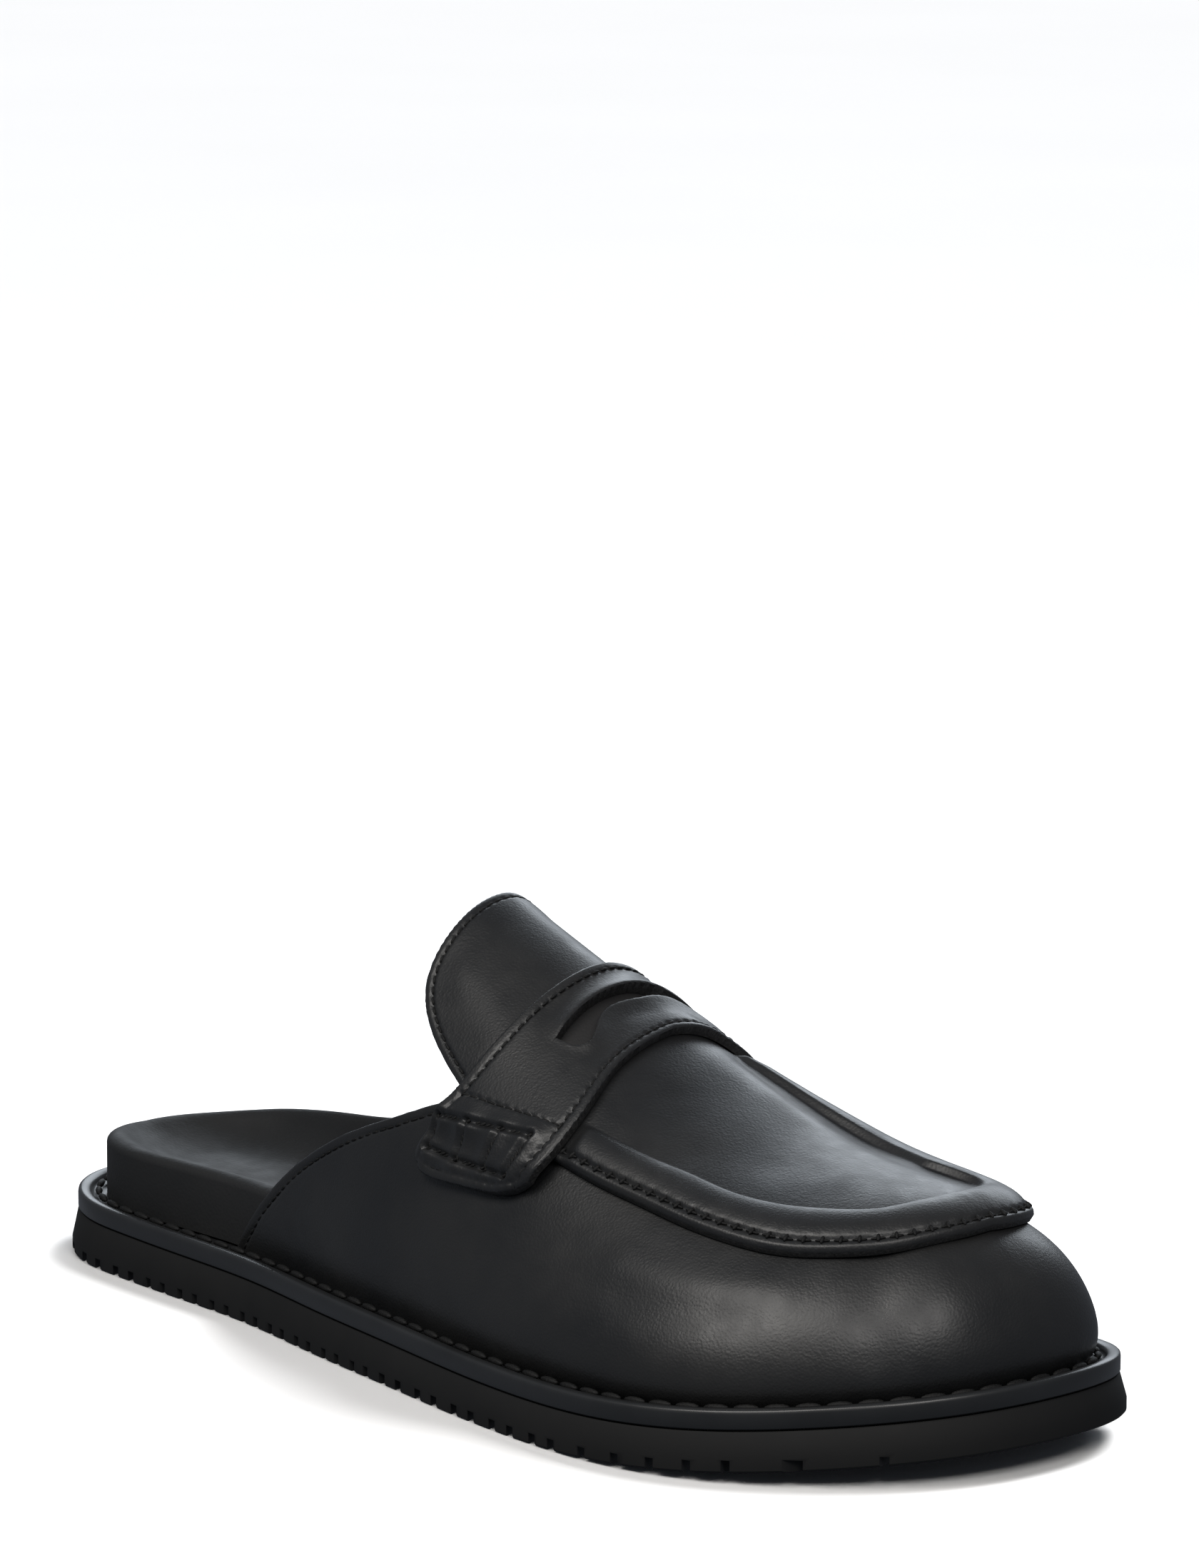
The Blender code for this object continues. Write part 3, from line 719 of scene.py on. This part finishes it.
def stitch_places(line, normals, pitch, first=0.5):
    """Places along a line, with its direction and the surface's normal at each."""
    line = np.asarray(line, float)
    lengths = np.concatenate([[0.0], np.cumsum(np.linalg.norm(np.diff(line, axis=0), axis=1))])
    count = max(1, int(round(lengths[-1] / pitch)))
    step = lengths[-1] / count
    places = []
    for k in range(count):
        spot = (k + first) * step
        a = np.array([np.interp(spot - 0.2 * step, lengths, line[:, i]) for i in range(3)])
        b = np.array([np.interp(spot + 0.2 * step, lengths, line[:, i]) for i in range(3)])
        n = unit(np.array([np.interp(spot, lengths, normals[:, i]) for i in range(3)]))
        places.append(((a + b) / 2, unit(b - a), n))
    return places


def one_stitch():
    """A ball drawn out along X: the shape of one tight stitch."""
    deselect()
    bpy.ops.mesh.primitive_uv_sphere_add(segments=8, ring_count=6, radius=1.0)
    stitch = bpy.context.object
    lay(stitch, coordinates(stitch)[:, [2, 0, 1]])
    return stitch


def sew(name, stitch, places, length, thick, sunk, made, slot, turn=0.0):
    """Copies of the stitch at each place, joined as one piece. sunk is how deep its middle lies."""
    copies = []
    for point, along, normal in places:
        side = unit(np.cross(normal, along))
        along = unit(along * math.cos(turn) + side * math.sin(turn))
        side = np.cross(normal, along)
        centre = point - CENTRE - normal * sunk
        axes = np.stack([along * length / 2, side * thick / 2, normal * thick / 2, centre], -1)
        copy = stitch.copy()
        copy.data = stitch.data.copy()
        copy.data.transform(Matrix([*axes.tolist(), [0, 0, 0, 1]]))
        bpy.context.scene.collection.objects.link(copy)
        copies.append(copy)
    deselect()
    for copy in copies:
        copy.select_set(True)
    bpy.context.view_layer.objects.active = copies[0]
    bpy.ops.object.join()
    piece = bpy.context.object
    piece.name = name
    piece.data.name = name
    dress(piece, slot, made)
    return piece


# Sole

def both_sides(inset, stations):
    shares = np.arange(stations + 1) / stations
    outer = Side(inset, False).at(shares)
    inner = Side(inset, True).at(shares)
    return np.vstack([outer, inner[-2:0:-1]])


def ring_stack(name, rings):
    """A closed body from rings of points, each ring in line with the one below it."""
    rings = [np.asarray(loop) - CENTRE for loop in rings]
    size = len(rings[0])
    faces = []
    for level in range(len(rings) - 1):
        base = level * size
        for k in range(size):
            after = (k + 1) % size
            faces.append((base + k, base + after, base + size + after, base + size + k))
    top = (len(rings) - 1) * size
    for k in range(size // 2):
        quad = [k, k + 1, size - k - 1, (size - k) % size]
        quad = [v for n, v in enumerate(quad) if v not in quad[:n]]
        faces.append(tuple(top + v for v in quad))
        faces.append(tuple(quad[::-1]))
    mesh = bpy.data.meshes.new(name)
    mesh.from_pydata(np.vstack(rings).tolist(), [], faces)
    piece = bpy.data.objects.new(name, mesh)
    bpy.context.scene.collection.objects.link(piece)
    return piece


def level_ring(inset, height, stations):
    flat = both_sides(inset, stations)
    return np.column_stack([flat, height(flat[:, 0])])


def make_outsole(made):
    rings = []
    for inset, rise in ((-OUTSOLE_FLARE + 0.0005, 0.0), (-OUTSOLE_FLARE, 0.0005),
                        (-OUTSOLE_FLARE, FLARE_HEIGHT * OUTSOLE_THICKNESS)):
        rings.append(level_ring(inset, lambda x, r=rise: ground(x) + r, 180))
    rings.append(level_ring(0.0, lambda x: outsole_top(x) - 0.0004, 180))
    rings.append(level_ring(0.0004, outsole_top, 180))
    outsole = ring_stack("lugged_outsole", rings)
    cutter = make_groove_cutter()
    cut = outsole.modifiers.new("lugs", "BOOLEAN")
    cut.solver = "EXACT"
    cut.object = cutter
    apply_all(outsole)
    bpy.data.objects.remove(cutter)
    bevel = outsole.modifiers.new("worn_corners", "BEVEL")
    bevel.width = 0.00025
    bevel.segments = 2
    bevel.limit_method = "ANGLE"
    bevel.angle_limit = math.radians(50)
    bevel.use_clamp_overlap = True
    apply_all(outsole)
    dress(outsole, "outsole_rubber", made, replaced="outsole", smooth_angle=35)


def make_groove_cutter():
    """Zigzag bars from below the sole up to the floor of each groove."""
    places = []
    x = 0.5 * LUG_PITCH
    while x < TOE_LUGS_START * SOLE_LENGTH:
        places += [x, x + LUG_PAIR * LUG_PITCH]
        x += LUG_PITCH
    x += LUG_GROOVE
    while x < SOLE_LENGTH - 0.5 * TOE_LUG_PITCH:
        places.append(x)
        x += 0.5 * TOE_LUG_PITCH
    bars = []
    reach = 0.62 * BALL_WIDTH
    for place in places:
        bpy.ops.mesh.primitive_cube_add(size=1.0)
        bar = bpy.context.object
        only(bar)
        bpy.ops.object.mode_set(mode="EDIT")
        bpy.ops.mesh.select_all(action="SELECT")
        bpy.ops.transform.resize(value=(LUG_GROOVE, 2 * reach, OUTSOLE_THICKNESS + ground(place) + LUG_DEPTH))
        bpy.ops.mesh.bisect(plane_co=(0, 0, 0), plane_no=(0, 1, 0))
        bpy.ops.object.mode_set(mode="OBJECT")
        bars.append(zigzag(bar, place, reach))
    deselect()
    for bar in bars:
        bar.select_set(True)
    bpy.context.view_layer.objects.active = bars[0]
    bpy.ops.object.join()
    return bpy.context.object


def zigzag(bar, place, reach):
    """Bends a straight bar into the tread's zigzag and moves it to its place."""
    only(bar)
    bpy.ops.object.mode_set(mode="EDIT")
    for k in range(1, 8):
        if k != 4:
            bpy.ops.mesh.select_all(action="SELECT")
            bpy.ops.mesh.bisect(plane_co=(0, -reach + reach * k / 4, 0), plane_no=(0, 1, 0))
    bpy.ops.object.mode_set(mode="OBJECT")
    points = coordinates(bar)
    leg = np.round((points[:, 1] + reach) * 4 / reach).astype(int)
    points[:, 0] += place + np.where(leg % 2 == 0, LUG_ZIGZAG, 0.0) - LUG_ZIGZAG / 2
    points[:, 2] += ground(place) / 2 + LUG_DEPTH / 2 - OUTSOLE_THICKNESS / 2
    lay(bar, points - CENTRE)
    return bar


def make_welt(made, thread, stitch):
    """The raised lip, the sunk channel inside it and the heavy stitches that lie in the channel."""
    low = WELT_THICKNESS - WELT_GROOVE_DEPTH
    profile = [(0.0004, 0.0), (0.0, 0.0004)]
    half = WELT_LIP / 2
    for k in range(9):
        turn = math.pi * k / 8
        rise = WELT_THICKNESS + LIP_ROUNDING * (math.sin(turn) ** 0.7 - 1)
        profile.append((half - half * math.cos(turn), rise))
    profile += [(WELT_LIP + 0.0003, low + 0.0004), (WELT_LIP + 0.0008, low), (0.0105, low)]
    rings = []
    for inset, rise in profile:
        rings.append(level_ring(inset, lambda x, r=rise: outsole_top(x) + FIT + r, 260))
    welt = ring_stack("welt_strip", rings)
    dress(welt, "welt_rubber", made, replaced="welt", smooth_angle=50)
    line = level_ring(WELT_LIP + 0.0018, lambda x: outsole_top(x) + FIT + low, 260)
    line = np.vstack([line, line[:1]])
    up = np.tile((0.0, 0.0, 1.0), (len(line), 1))
    places = stitch_places(line, up, WELT_PITCH)
    sew("welt_stitching", stitch, places, WELT_STITCH_LENGTH, WELT_THREAD, -WELT_STITCH_RISE, thread,
        "welt_rubber")


def make_footbed(made):
    """A wrapped footbed: an upright rim with a soft edge, and a dish inside it."""
    stations = 220
    shares = np.arange(stations + 1) / stations
    covered = smooth(shares, COVER_START, TOPLINE[-1][1] - COVER_LEAD)
    under_upper = UPPER_INSET + VAMP_WALL + 2 * FIT
    feet = (Side(0.0, False), Side(0.0, True))

    def bed_ring(round_in, lift, shrink, dish):
        sides = []
        for index in (1, 2):
            rim = read(RIM, index, shares)
            lean = covered * RIM_LEAN * (rim * lift) ** 1.5
            insets = FOOTBED_INSET + covered * (under_upper - FOOTBED_INSET) + lean + RIM_ROUNDING * round_in
            near = Side(0.004, index == 2).at(shares)
            far = Side(0.016, index == 2).at(shares)
            points = near + (far - near) * ((insets - 0.004) / 0.012)[:, None]
            sides.append((points, rim))
        middle = (sides[0][0][:, 0] + sides[1][0][:, 0]) / 2
        axis_x = np.clip(middle, BED_AXIS_START * SOLE_LENGTH, BED_AXIS_END * SOLE_LENGTH)
        axis = np.column_stack([axis_x, centre_line(axis_x)])
        loops = []
        for points, rim in sides:
            flat = points + (axis - points) * shrink
            core = read(RIM, 3, flat[:, 0] / SOLE_LENGTH)
            height = RIM_HEIGHT * (rim + (core - rim) * dish) * lift
            loops.append(np.column_stack([flat, seat(flat[:, 0]) + FIT + height]))
        return np.vstack([loops[0], loops[1][-2:0:-1]])

    rings = [bed_ring(0, 0.0, 0, 0), bed_ring(0, 0.45, 0, 0)]
    for k in range(7):
        turn = math.pi / 2 * k / 6
        lift = BED_UPRIGHT + (1 - BED_UPRIGHT) * math.sin(turn)
        rings.append(bed_ring(0.8 * (1 - math.cos(turn)), lift, 0, 0))
    for k in range(1, BED_RINGS + 1):
        shrink = 0.96 * (k / BED_RINGS) ** 1.15
        dish = (1 - max(0.0, 1 - shrink / 0.72) ** 2.0) * smooth(shrink, -0.06, 0.10)
        rings.append(bed_ring(0.8 + 0.2 * min(1.0, k / 3), 1.0, shrink, dish))
    footbed = ring_stack("footbed_cover", rings)
    dress(footbed, "footbed_leather", made, replaced="footbed", smooth_angle=80)


# Upper

def make_vamp(leathers):
    """The wall of the upper, its top edge turned and stitched, with the soft hollows of the lasting."""
    piece, along, angle = grid("vamp_upper", 200, 190)
    eased = 0.35 * along + 0.65 * along ** 1.7
    share = row_share(eased, angle)
    base = raised(share, angle, 0.0)
    line, normals = track(*top_line(), 0.0)
    gap, _ = away(base, line)
    row, _ = moved_in(line, normals, STITCH_INSET)
    relief = dip(gap, 0.0010, -0.00015) + pressed_row(base, row, EDGE_PITCH)
    relief += hollows(base, VAMP_HOLLOWS, 0.0)
    relief += uneven(base, 0.030, 0.00022) * smooth(gap, 0.004, 0.02)
    relief += rounded(gap, EDGE_ROUNDING)
    lay_wall(piece, base + outward(share, angle) * relief[:, None], raised(share, angle, -VAMP_WALL),
             leathers, close_fold)
    dress(piece, "upper_leather", replaced="vamp")


def top_line():
    """Shares and height angles of the upper's rear edge."""
    angles = np.linspace(-1, 1, 121)
    return read(TOPLINE, 1, np.abs(angles)), angles


# Hollows and swells of the vamp: share and angle at both ends, width and depth in metres. A depth below
# nought is a swell.
VAMP_HOLLOWS = (
    (0.890, -0.50, 0.886, -0.80, 0.0060, 0.0006),
    (0.935, -0.55, 0.945, -0.80, 0.0080, -0.0005),
    (0.700, -0.62, 0.820, -0.60, 0.0050, -0.0004),
    (0.710, -0.70, 0.800, -0.69, 0.0060, 0.0004),
    (0.560, -0.78, 0.640, -0.66, 0.0090, 0.0004),
    (0.900, 0.50, 0.890, 0.80, 0.0070, 0.0005),
    (0.720, 0.62, 0.830, 0.62, 0.0060, -0.0004),
)


def ridge_height(place, ridge, share):
    """Height of the apron's border over its panel."""
    front = read(STRAP_EDGES, 2, ridge * apron_edge(share))
    crest = 1.15 * APRON_RIDGE * smooth(share, front, front + RIDGE_FADE)
    outside = np.clip((place - ridge) / (1 - ridge), 0.0, 1.0)
    inside = np.clip((ridge - place) / 0.045, 0.0, 1.0)
    band = 1 - (np.abs(outside - 0.35) / 0.65) ** 2.2
    return crest * band * (1 - inside) ** 2 * (1 + 2 * inside)


def apron_ridge(share, angle):
    """Where the ridge runs, as a part of the way to the edge: nearer the middle on the inner side."""
    nearer = 0.30 * smooth(0.93 - share, 0.0, 0.07) * smooth(angle, -0.02, 0.02)
    return read(APRON_EDGE, 2, share) * (1 - nearer)


# Columns of the apron's grid that lie on its knots: the middle, the ridge's foot and top, and the border
APRON_COLUMNS = (0.0, 0.34, 0.60, 0.78, 1.0)


def make_apron(leathers, thread, stitch):
    """The moccasin plug: a sunk panel, a puffed border round it and the puckered seam at its edge."""
    piece, along, across = grid("apron_plug", 210, 150)
    base_share = row_share(along, 0.0)
    edge_angle = apron_edge(base_share)
    ridge = apron_ridge(base_share, across)
    t = np.abs(across)
    knots = (0.0, ridge - 0.07, ridge + 0.04, 0.90, 1.0)
    place = np.zeros_like(t)
    for k in range(len(APRON_COLUMNS) - 1):
        low, high = APRON_COLUMNS[k:k + 2]
        place += np.clip((t - low) / (high - low), 0.0, 1.0) * (knots[k + 1] - knots[k])
    angle = edge_angle * place * np.sign(across)
    share = row_share(along, angle)
    lift = LAYER_FIT + APRON_THICKNESS + ridge_height(place, ridge, share)
    base = raised(share, angle, lift)
    rim = apron_line(1.0)
    gap, _ = away(base, rim[0])
    seam = apron_line(1.0 - APRON_STITCH_INSET / 0.045)
    far, at = away(base, seam[0])
    pucker = 0.5 + 0.5 * np.cos(2 * math.pi * at / APRON_PITCH)
    inner = smooth(gap, APRON_STITCH_INSET - 0.0004, APRON_STITCH_INSET + 0.0004)
    relief = dip(far, 0.0006, 0.00050) - inner * pucker * 0.00026 * np.exp(-(far / 0.0012) ** 2)
    relief += 0.0003 * np.exp(-((gap - 0.0010) / 0.0007) ** 2)
    relief += hollows(base, APRON_HOLLOWS, LAYER_FIT) * smooth(gap, 0.003, 0.012)
    shares = np.linspace(0.64, 0.97, 60)
    far_ridge = apron_edge(shares) * apron_ridge(shares, 1.0)
    for part, width, depth in ((1.10, 0.0040, -0.0009), (0.80, 0.0040, 0.0009)):
        fold, _ = track(shares, far_ridge * part, LAYER_FIT, 120)
        distance, _ = away(base, fold)
        relief += dip(distance, width, depth) * smooth(gap, 0.002, 0.006)
    relief += uneven(base, 0.022, 0.00020) * smooth(gap, 0.004, 0.015)
    relief += rounded(gap, EDGE_ROUNDING)
    lay_wall(piece, base + outward(share, angle) * relief[:, None], raised(share, angle, LAYER_FIT),
             leathers, close_fold)
    dress(piece, "upper_leather", replaced="apron")
    places = stitch_places(*seam, APRON_PITCH, 0.0)
    sew("apron_seam_stitching", stitch, places, APRON_STITCH_LENGTH, THREAD, APRON_STITCH_SUNK, thread,
        "upper_leather")
    sew("apron_seam_ties", stitch, places, TIE_LENGTH, TIE_THREAD, TIE_SUNK, thread, "upper_leather",
        turn=math.radians(TIE_TURN))


# Hollows and swells of the apron's panel, as for the vamp
APRON_HOLLOWS = (
    (0.650, -0.20, 0.700, -0.30, 0.0070, 0.0005),
    (0.660, 0.05, 0.740, 0.00, 0.0120, -0.0005),
    (0.780, -0.18, 0.800, 0.18, 0.0110, 0.0006),
    (0.880, -0.15, 0.880, 0.15, 0.0090, -0.0004),
)


def apron_line(part_of_edge, samples=400):
    """A line round the apron at a part of its half width, from the outer side over the toe."""
    along = np.concatenate([np.linspace(0, 1, samples // 2), np.linspace(1, 0, samples // 2)[1:]])
    sign = np.where(np.arange(samples - 1) < samples // 2, -1.0, 1.0)
    base = row_share(along, 0.0)
    angle = apron_edge(base) * part_of_edge
    share = row_share(along, angle)
    ridge = apron_ridge(base, sign)
    lift = LAYER_FIT + APRON_THICKNESS + ridge_height(np.full_like(base, part_of_edge), ridge, share)
    return raised(share, angle * sign, lift), outward(share, angle * sign)


def tongue_place(along, across):
    tip = TONGUE_TIP + TONGUE_ROUNDING * np.abs(across) ** TONGUE_CORNER
    half = TONGUE_TIP_ANGLE + (TONGUE_ROOT_ANGLE - TONGUE_TIP_ANGLE) * along
    root = row_share(0.0, TONGUE_ROOT_ANGLE * np.abs(across)) - TONGUE_ROOT_GAP
    return tip + (root - tip) * along, half * across


def tongue_line():
    """The line round the tongue's free edge."""
    down = np.linspace(0.98, 0.0, 60)
    over = np.linspace(-1, 1, 240)
    along = np.concatenate([down, np.zeros(240), down[::-1]])
    across = np.concatenate([np.full(60, -1.0), over, np.full(60, 1.0)])
    share, angle = tongue_place(along, across)
    offset = LAYER_FIT + TONGUE_THICKNESS
    return raised(share, angle, offset), outward(share, angle)


def make_tongue(leathers, thread, stitch):
    """The tongue: a lined flap with a raw edge and one row of stitches inside it."""
    piece, along, across = grid("tongue_flap", 100, 190)
    eased = 0.45 * along + 0.55 * along ** 1.6
    spread = np.sign(across) * (1 - (1 - np.abs(across)) ** 1.35)
    share, angle = tongue_place(eased, spread)
    base = raised(share, angle, LAYER_FIT + TONGUE_THICKNESS)
    rim = tongue_line()
    gap, _ = away(base, rim[0])
    row = moved_in(rim[0][60:300], rim[1][60:300], STITCH_INSET)
    relief = pressed_row(base, row[0], EDGE_PITCH) + dip(gap, 0.0008, 0.00015)
    relief += uneven(base, 0.020, 0.00030) * smooth(gap, 0.002, 0.012)
    relief += hollows(base, TONGUE_HOLLOWS, LAYER_FIT) * smooth(gap, 0.003, 0.010)
    relief += rounded(gap, TONGUE_EDGE_ROUNDING)
    lay_wall(piece, base + outward(share, angle) * relief[:, None], raised(share, angle, LAYER_FIT), leathers)
    dress(piece, "upper_leather", replaced="tongue")
    sew("tongue_stitching", stitch, stitch_places(*row, EDGE_PITCH), STITCH_LENGTH, THREAD, STITCH_SUNK,
        thread, "upper_leather")


TONGUE_HOLLOWS = (
    (0.450, -0.30, 0.520, -0.36, 0.0060, -0.0004),
    (0.455, -0.20, 0.520, -0.22, 0.0060, 0.0004),
    (0.450, 0.20, 0.520, 0.24, 0.0080, 0.0004),
)


def strap_place(along, across):
    end = STRAP_REAR_END + (STRAP_FRONT_END - STRAP_REAR_END) * along
    end = end * (1 - STRAP_CORNER * np.abs(2 * along - 1) ** 5)
    angle = end * across
    rear = read(STRAP_EDGES, 1, np.abs(angle))
    front = read(STRAP_EDGES, 2, np.abs(angle))
    return rear + (front - rear) * along, angle


def strap_lift(share, angle):
    over = smooth(apron_edge(share) * STRAP_REACH - np.abs(angle), -STRAP_RAMP / 4, STRAP_RAMP)
    return LAYER_FIT + over * (APRON_THICKNESS + LAYER_FIT)


def strap_line(along, across):
    """Points of the strap's outside by their shares of its breadth and its half length."""
    share, angle = strap_place(np.asarray(along, float), np.asarray(across, float))
    offset = strap_lift(share, angle) + STRAP_THICKNESS
    return raised(share, angle, offset), outward(share, angle)


def slot_loop(samples=60):
    """The slot's rear arc and its two-lobed front edge, seen from above."""
    middle = last(SLOT_PLACE, 0.0)
    across = np.sin(np.linspace(-math.pi / 2, math.pi / 2, samples))
    y = middle[1] + SLOT_HALF_LENGTH * across
    rear = middle[0] - SLOT_BOW * (1 - across ** 2)
    front = rear + SLOT_WIDTH * np.maximum(read(SLOT_FRONT, 1, np.abs(across)), 0.0)
    return np.column_stack([rear, y]), np.column_stack([front, y])


def on_strap(flat):
    """Points of a flat line dropped on the strap's surface."""
    along = np.linspace(0, 1, 60)
    across = np.linspace(-0.8, 0.8, 260)
    a, b = np.meshgrid(along, across, indexing="ij")
    points = strap_line(a, b)[0].reshape(-1, 3)
    gaps = ((points[None, :, :2] - flat[:, None]) ** 2).sum(-1)
    return np.column_stack([flat, points[gaps.argmin(1), 2]])


def make_strap(leathers, thread, stitch):
    """The saddle strap: its slot with a pressed lip, stitched edges and three padded cells at each end."""
    piece, along, across = grid("saddle_strap", STRAP_ROWS, 340)
    row = np.round(along * STRAP_ROWS)
    half = STRAP_ROWS // 2
    is_behind = row <= half
    part = np.where(is_behind, row / half, (row - half - 1) / (STRAP_ROWS - half - 1))
    spread = 0.5 + 0.5 * np.sign(part - 0.5) * (1 - (1 - np.abs(2 * part - 1)) ** 1.3)
    rear, front = slot_loop()
    behind_slot, before_slot = slot_rows(rear, front, across)
    spread = np.where(is_behind, spread * behind_slot, before_slot + (1 - before_slot) * spread)
    share, angle = strap_place(spread, across)
    lift = strap_lift(share, angle) + STRAP_THICKNESS
    base = raised(share, angle, lift)
    t = np.linspace(-1, 1, 300)
    relief = uneven(base, 0.018, 0.00018)
    rear_edge = strap_line(np.zeros(300), t)
    front_edge = strap_line(np.ones(300), t)
    ends = [strap_line(np.linspace(0, 1, 100), np.full(100, end)) for end in (-1.0, 1.0)]
    for rim in (rear_edge, front_edge, *ends):
        gap, _ = away(base, rim[0])
        relief += rounded(gap, STRAP_EDGE_ROUNDING)
    edge_rows = [strap_line(np.full(300, a), t) for a in (STRAP_ROW_INSET, 1 - STRAP_ROW_INSET)]
    over = np.linspace(1.3 * STRAP_ROW_INSET, 1 - 1.3 * STRAP_ROW_INSET, 60)
    edge_rows += [strap_line(over, np.full(60, end)) for end in (END_ROW_INSET - 1, 1 - END_ROW_INSET)]
    for line, _ in edge_rows:
        relief += pressed_row(base, line, EDGE_PITCH)
    seams = []
    for sign in (-1.0, 1.0):
        for shares, angles in CELL_LINES:
            seams.append(cell_line(shares, angles, sign))
            gap, _ = away(base, seams[-1][0])
            relief += shaped(gap, CELL_SEAM)
    crossings = []
    for sign in (-1.0, 1.0):
        crossings.append(cell_line(*CROSS_LINE, sign))
        relief += pressed_row(base, crossings[-1][0], EDGE_PITCH)
    behind, _ = away(base, on_strap(rear))
    before, _ = away(base, on_strap(front))
    over_slot = smooth(SLOT_HALF_LENGTH + 0.002 - np.abs(base[:, 1] - rear[:, 1].mean()), 0.0, 0.006)
    pressed = np.where(is_behind, shaped(behind, REAR_LIP), shaped(before, FRONT_LIP))
    pressed += rounded(np.where(is_behind, behind, before), EDGE_ROUNDING)
    relief += pressed * over_slot
    inside = raised(share, angle, lift - STRAP_THICKNESS)
    lay_wall(piece, base + outward(share, angle) * relief[:, None], inside, leathers,
             lambda strap: open_slot(strap, row, half))
    dress(piece, "upper_leather", replaced="strap")
    rows = []
    for line, normals in edge_rows + crossings:
        rows += stitch_places(line, normals, EDGE_PITCH)
    sew("strap_stitching", stitch, rows, STITCH_LENGTH, THREAD, STITCH_SUNK, thread, "upper_leather")
    ropes = []
    for line, normals in seams:
        ropes += stitch_places(line, normals, WHIP_PITCH)
    sew("strap_cell_whipping", stitch, ropes, STITCH_LENGTH, WHIP_THREAD, WHIP_SUNK, thread, "upper_leather",
        turn=math.radians(WHIP_TURN))
    piece, along, across = grid("slot_backing", 30, 90)
    share = 0.535 + 0.055 * along
    angle = 0.40 * across
    offset = LAYER_FIT + APRON_THICKNESS + LAYER_FIT / 4 + BACKING
    inside = raised(share, angle, offset - BACKING)
    lay_wall(piece, raised(share, angle, offset), inside, (leathers[1], *leathers[1:]))
    dress(piece, "upper_leather")


def cell_line(shares, angles, sign):
    """A seam of the strap's end through places given by share and angle on the outer side."""
    t = np.linspace(0, len(shares) - 1, 80)
    at = np.arange(len(shares))
    share = np.interp(t, at, shares)
    angle = np.interp(t, at, angles) * -sign
    offset = strap_lift(share, angle) + STRAP_THICKNESS
    return raised(share, angle, offset), outward(share, angle)


# Distance from the line, width and depth in metres
CELL_SEAM = ((0.0, 0.0008, 0.00130), (0.0, 0.0032, -0.00085))
REAR_LIP = ((0.0, 0.0022, -0.00090), (0.0055, 0.0020, 0.00035))
FRONT_LIP = ((0.0, 0.0018, -0.00045), (0.0045, 0.0022, 0.00025))
# Seams round and between the padded cells: shares along the side, height angles
CELL_LINES = (
    ((0.4990, 0.5300, 0.5620, 0.5875), (-0.585, -0.555, -0.522, -0.495)),
    ((0.5290, 0.5275, 0.5235), (-0.557, -0.592, -0.640)),
    ((0.5605, 0.5580, 0.5540), (-0.525, -0.568, -0.617)),
    ((0.5875, 0.5835, 0.5775), (-0.495, -0.544, -0.600)),
    ((0.4920, 0.5235, 0.5540, 0.5775), (-0.655, -0.640, -0.617, -0.600)),
    ((0.4990, 0.4950, 0.4920), (-0.585, -0.620, -0.655)),
)
CROSS_LINE = ((0.5120, 0.5453, 0.5755, 0.6040), (-0.520, -0.490, -0.461, -0.436))


def slot_rows(rear, front, across):
    """Where the slot's rear and front edges cross the strap's width, for each point's column."""
    columns = np.unique(np.round(across, 6))
    along = np.linspace(0, 1, 160)
    a, b = np.meshgrid(columns, along, indexing="ij")
    flat = strap_line(b, a)[0][..., :2]
    crossed = []
    for edge in (rear, front):
        ahead = flat[..., 0] - np.interp(flat[..., 1], edge[:, 1], edge[:, 0])
        crossed.append(np.array([np.interp(0.0, line, along) for line in ahead]))
    return (np.interp(across, columns, line) for line in crossed)


def open_slot(strap, row, half):
    """Takes out the row of faces over the slot and closes it up on either side of the slot."""
    only(strap)
    bpy.ops.object.mode_set(mode="EDIT")
    bpy.ops.mesh.select_mode(type="FACE")
    bpy.ops.mesh.select_all(action="DESELECT")
    bpy.ops.object.mode_set(mode="OBJECT")
    for face in strap.data.polygons:
        rows = {row[v] for v in face.vertices}
        face.select = rows == {half, half + 1}
    bpy.ops.object.mode_set(mode="EDIT")
    bpy.ops.mesh.delete(type="ONLY_FACE")
    bpy.ops.mesh.select_mode(type="VERT")
    bpy.ops.mesh.select_all(action="SELECT")
    bpy.ops.mesh.remove_doubles(threshold=0.00002)
    bpy.ops.object.mode_set(mode="OBJECT")


set_camera()
set_studio()

calf = leather("black_calf", (0.0095, 0.0100, 0.0108), (0.0170, 0.0168, 0.0165), 0.44)
lining = leather("black_lining", (0.010, 0.010, 0.010), (0.016, 0.015, 0.015), 0.65, coat=0.0)
bed_leather = leather("matte_bed_leather", (0.010, 0.0105, 0.011), (0.015, 0.0153, 0.0155), 0.66,
                      grain=0.0007, coat=0.0, specular=0.38)
tread = rubber("matte_tread_rubber", (0.005, 0.005, 0.005), (0.009, 0.009, 0.009), 0.78, 0.0, 0.0006, 0.35)
edging = rubber("half_gloss_welt", (0.012, 0.0125, 0.013), (0.018, 0.019, 0.020), 0.40, 0.25, 0.0010)
thread = thread_finish()
leathers = (calf, lining, cut_edge())

stitch = one_stitch()
make_outsole(tread)
make_welt(edging, thread, stitch)
make_footbed(bed_leather)
make_vamp(leathers)
make_apron(leathers, thread, stitch)
make_tongue(leathers, thread, stitch)
make_strap(leathers, thread, stitch)
top_row = moved_in(*track(*top_line(), 0.0), STITCH_INSET)
sew("topline_stitching", stitch, stitch_places(*top_row, EDGE_PITCH), STITCH_LENGTH, THREAD, STITCH_SUNK,
    thread, "upper_leather")
bpy.data.objects.remove(stitch)
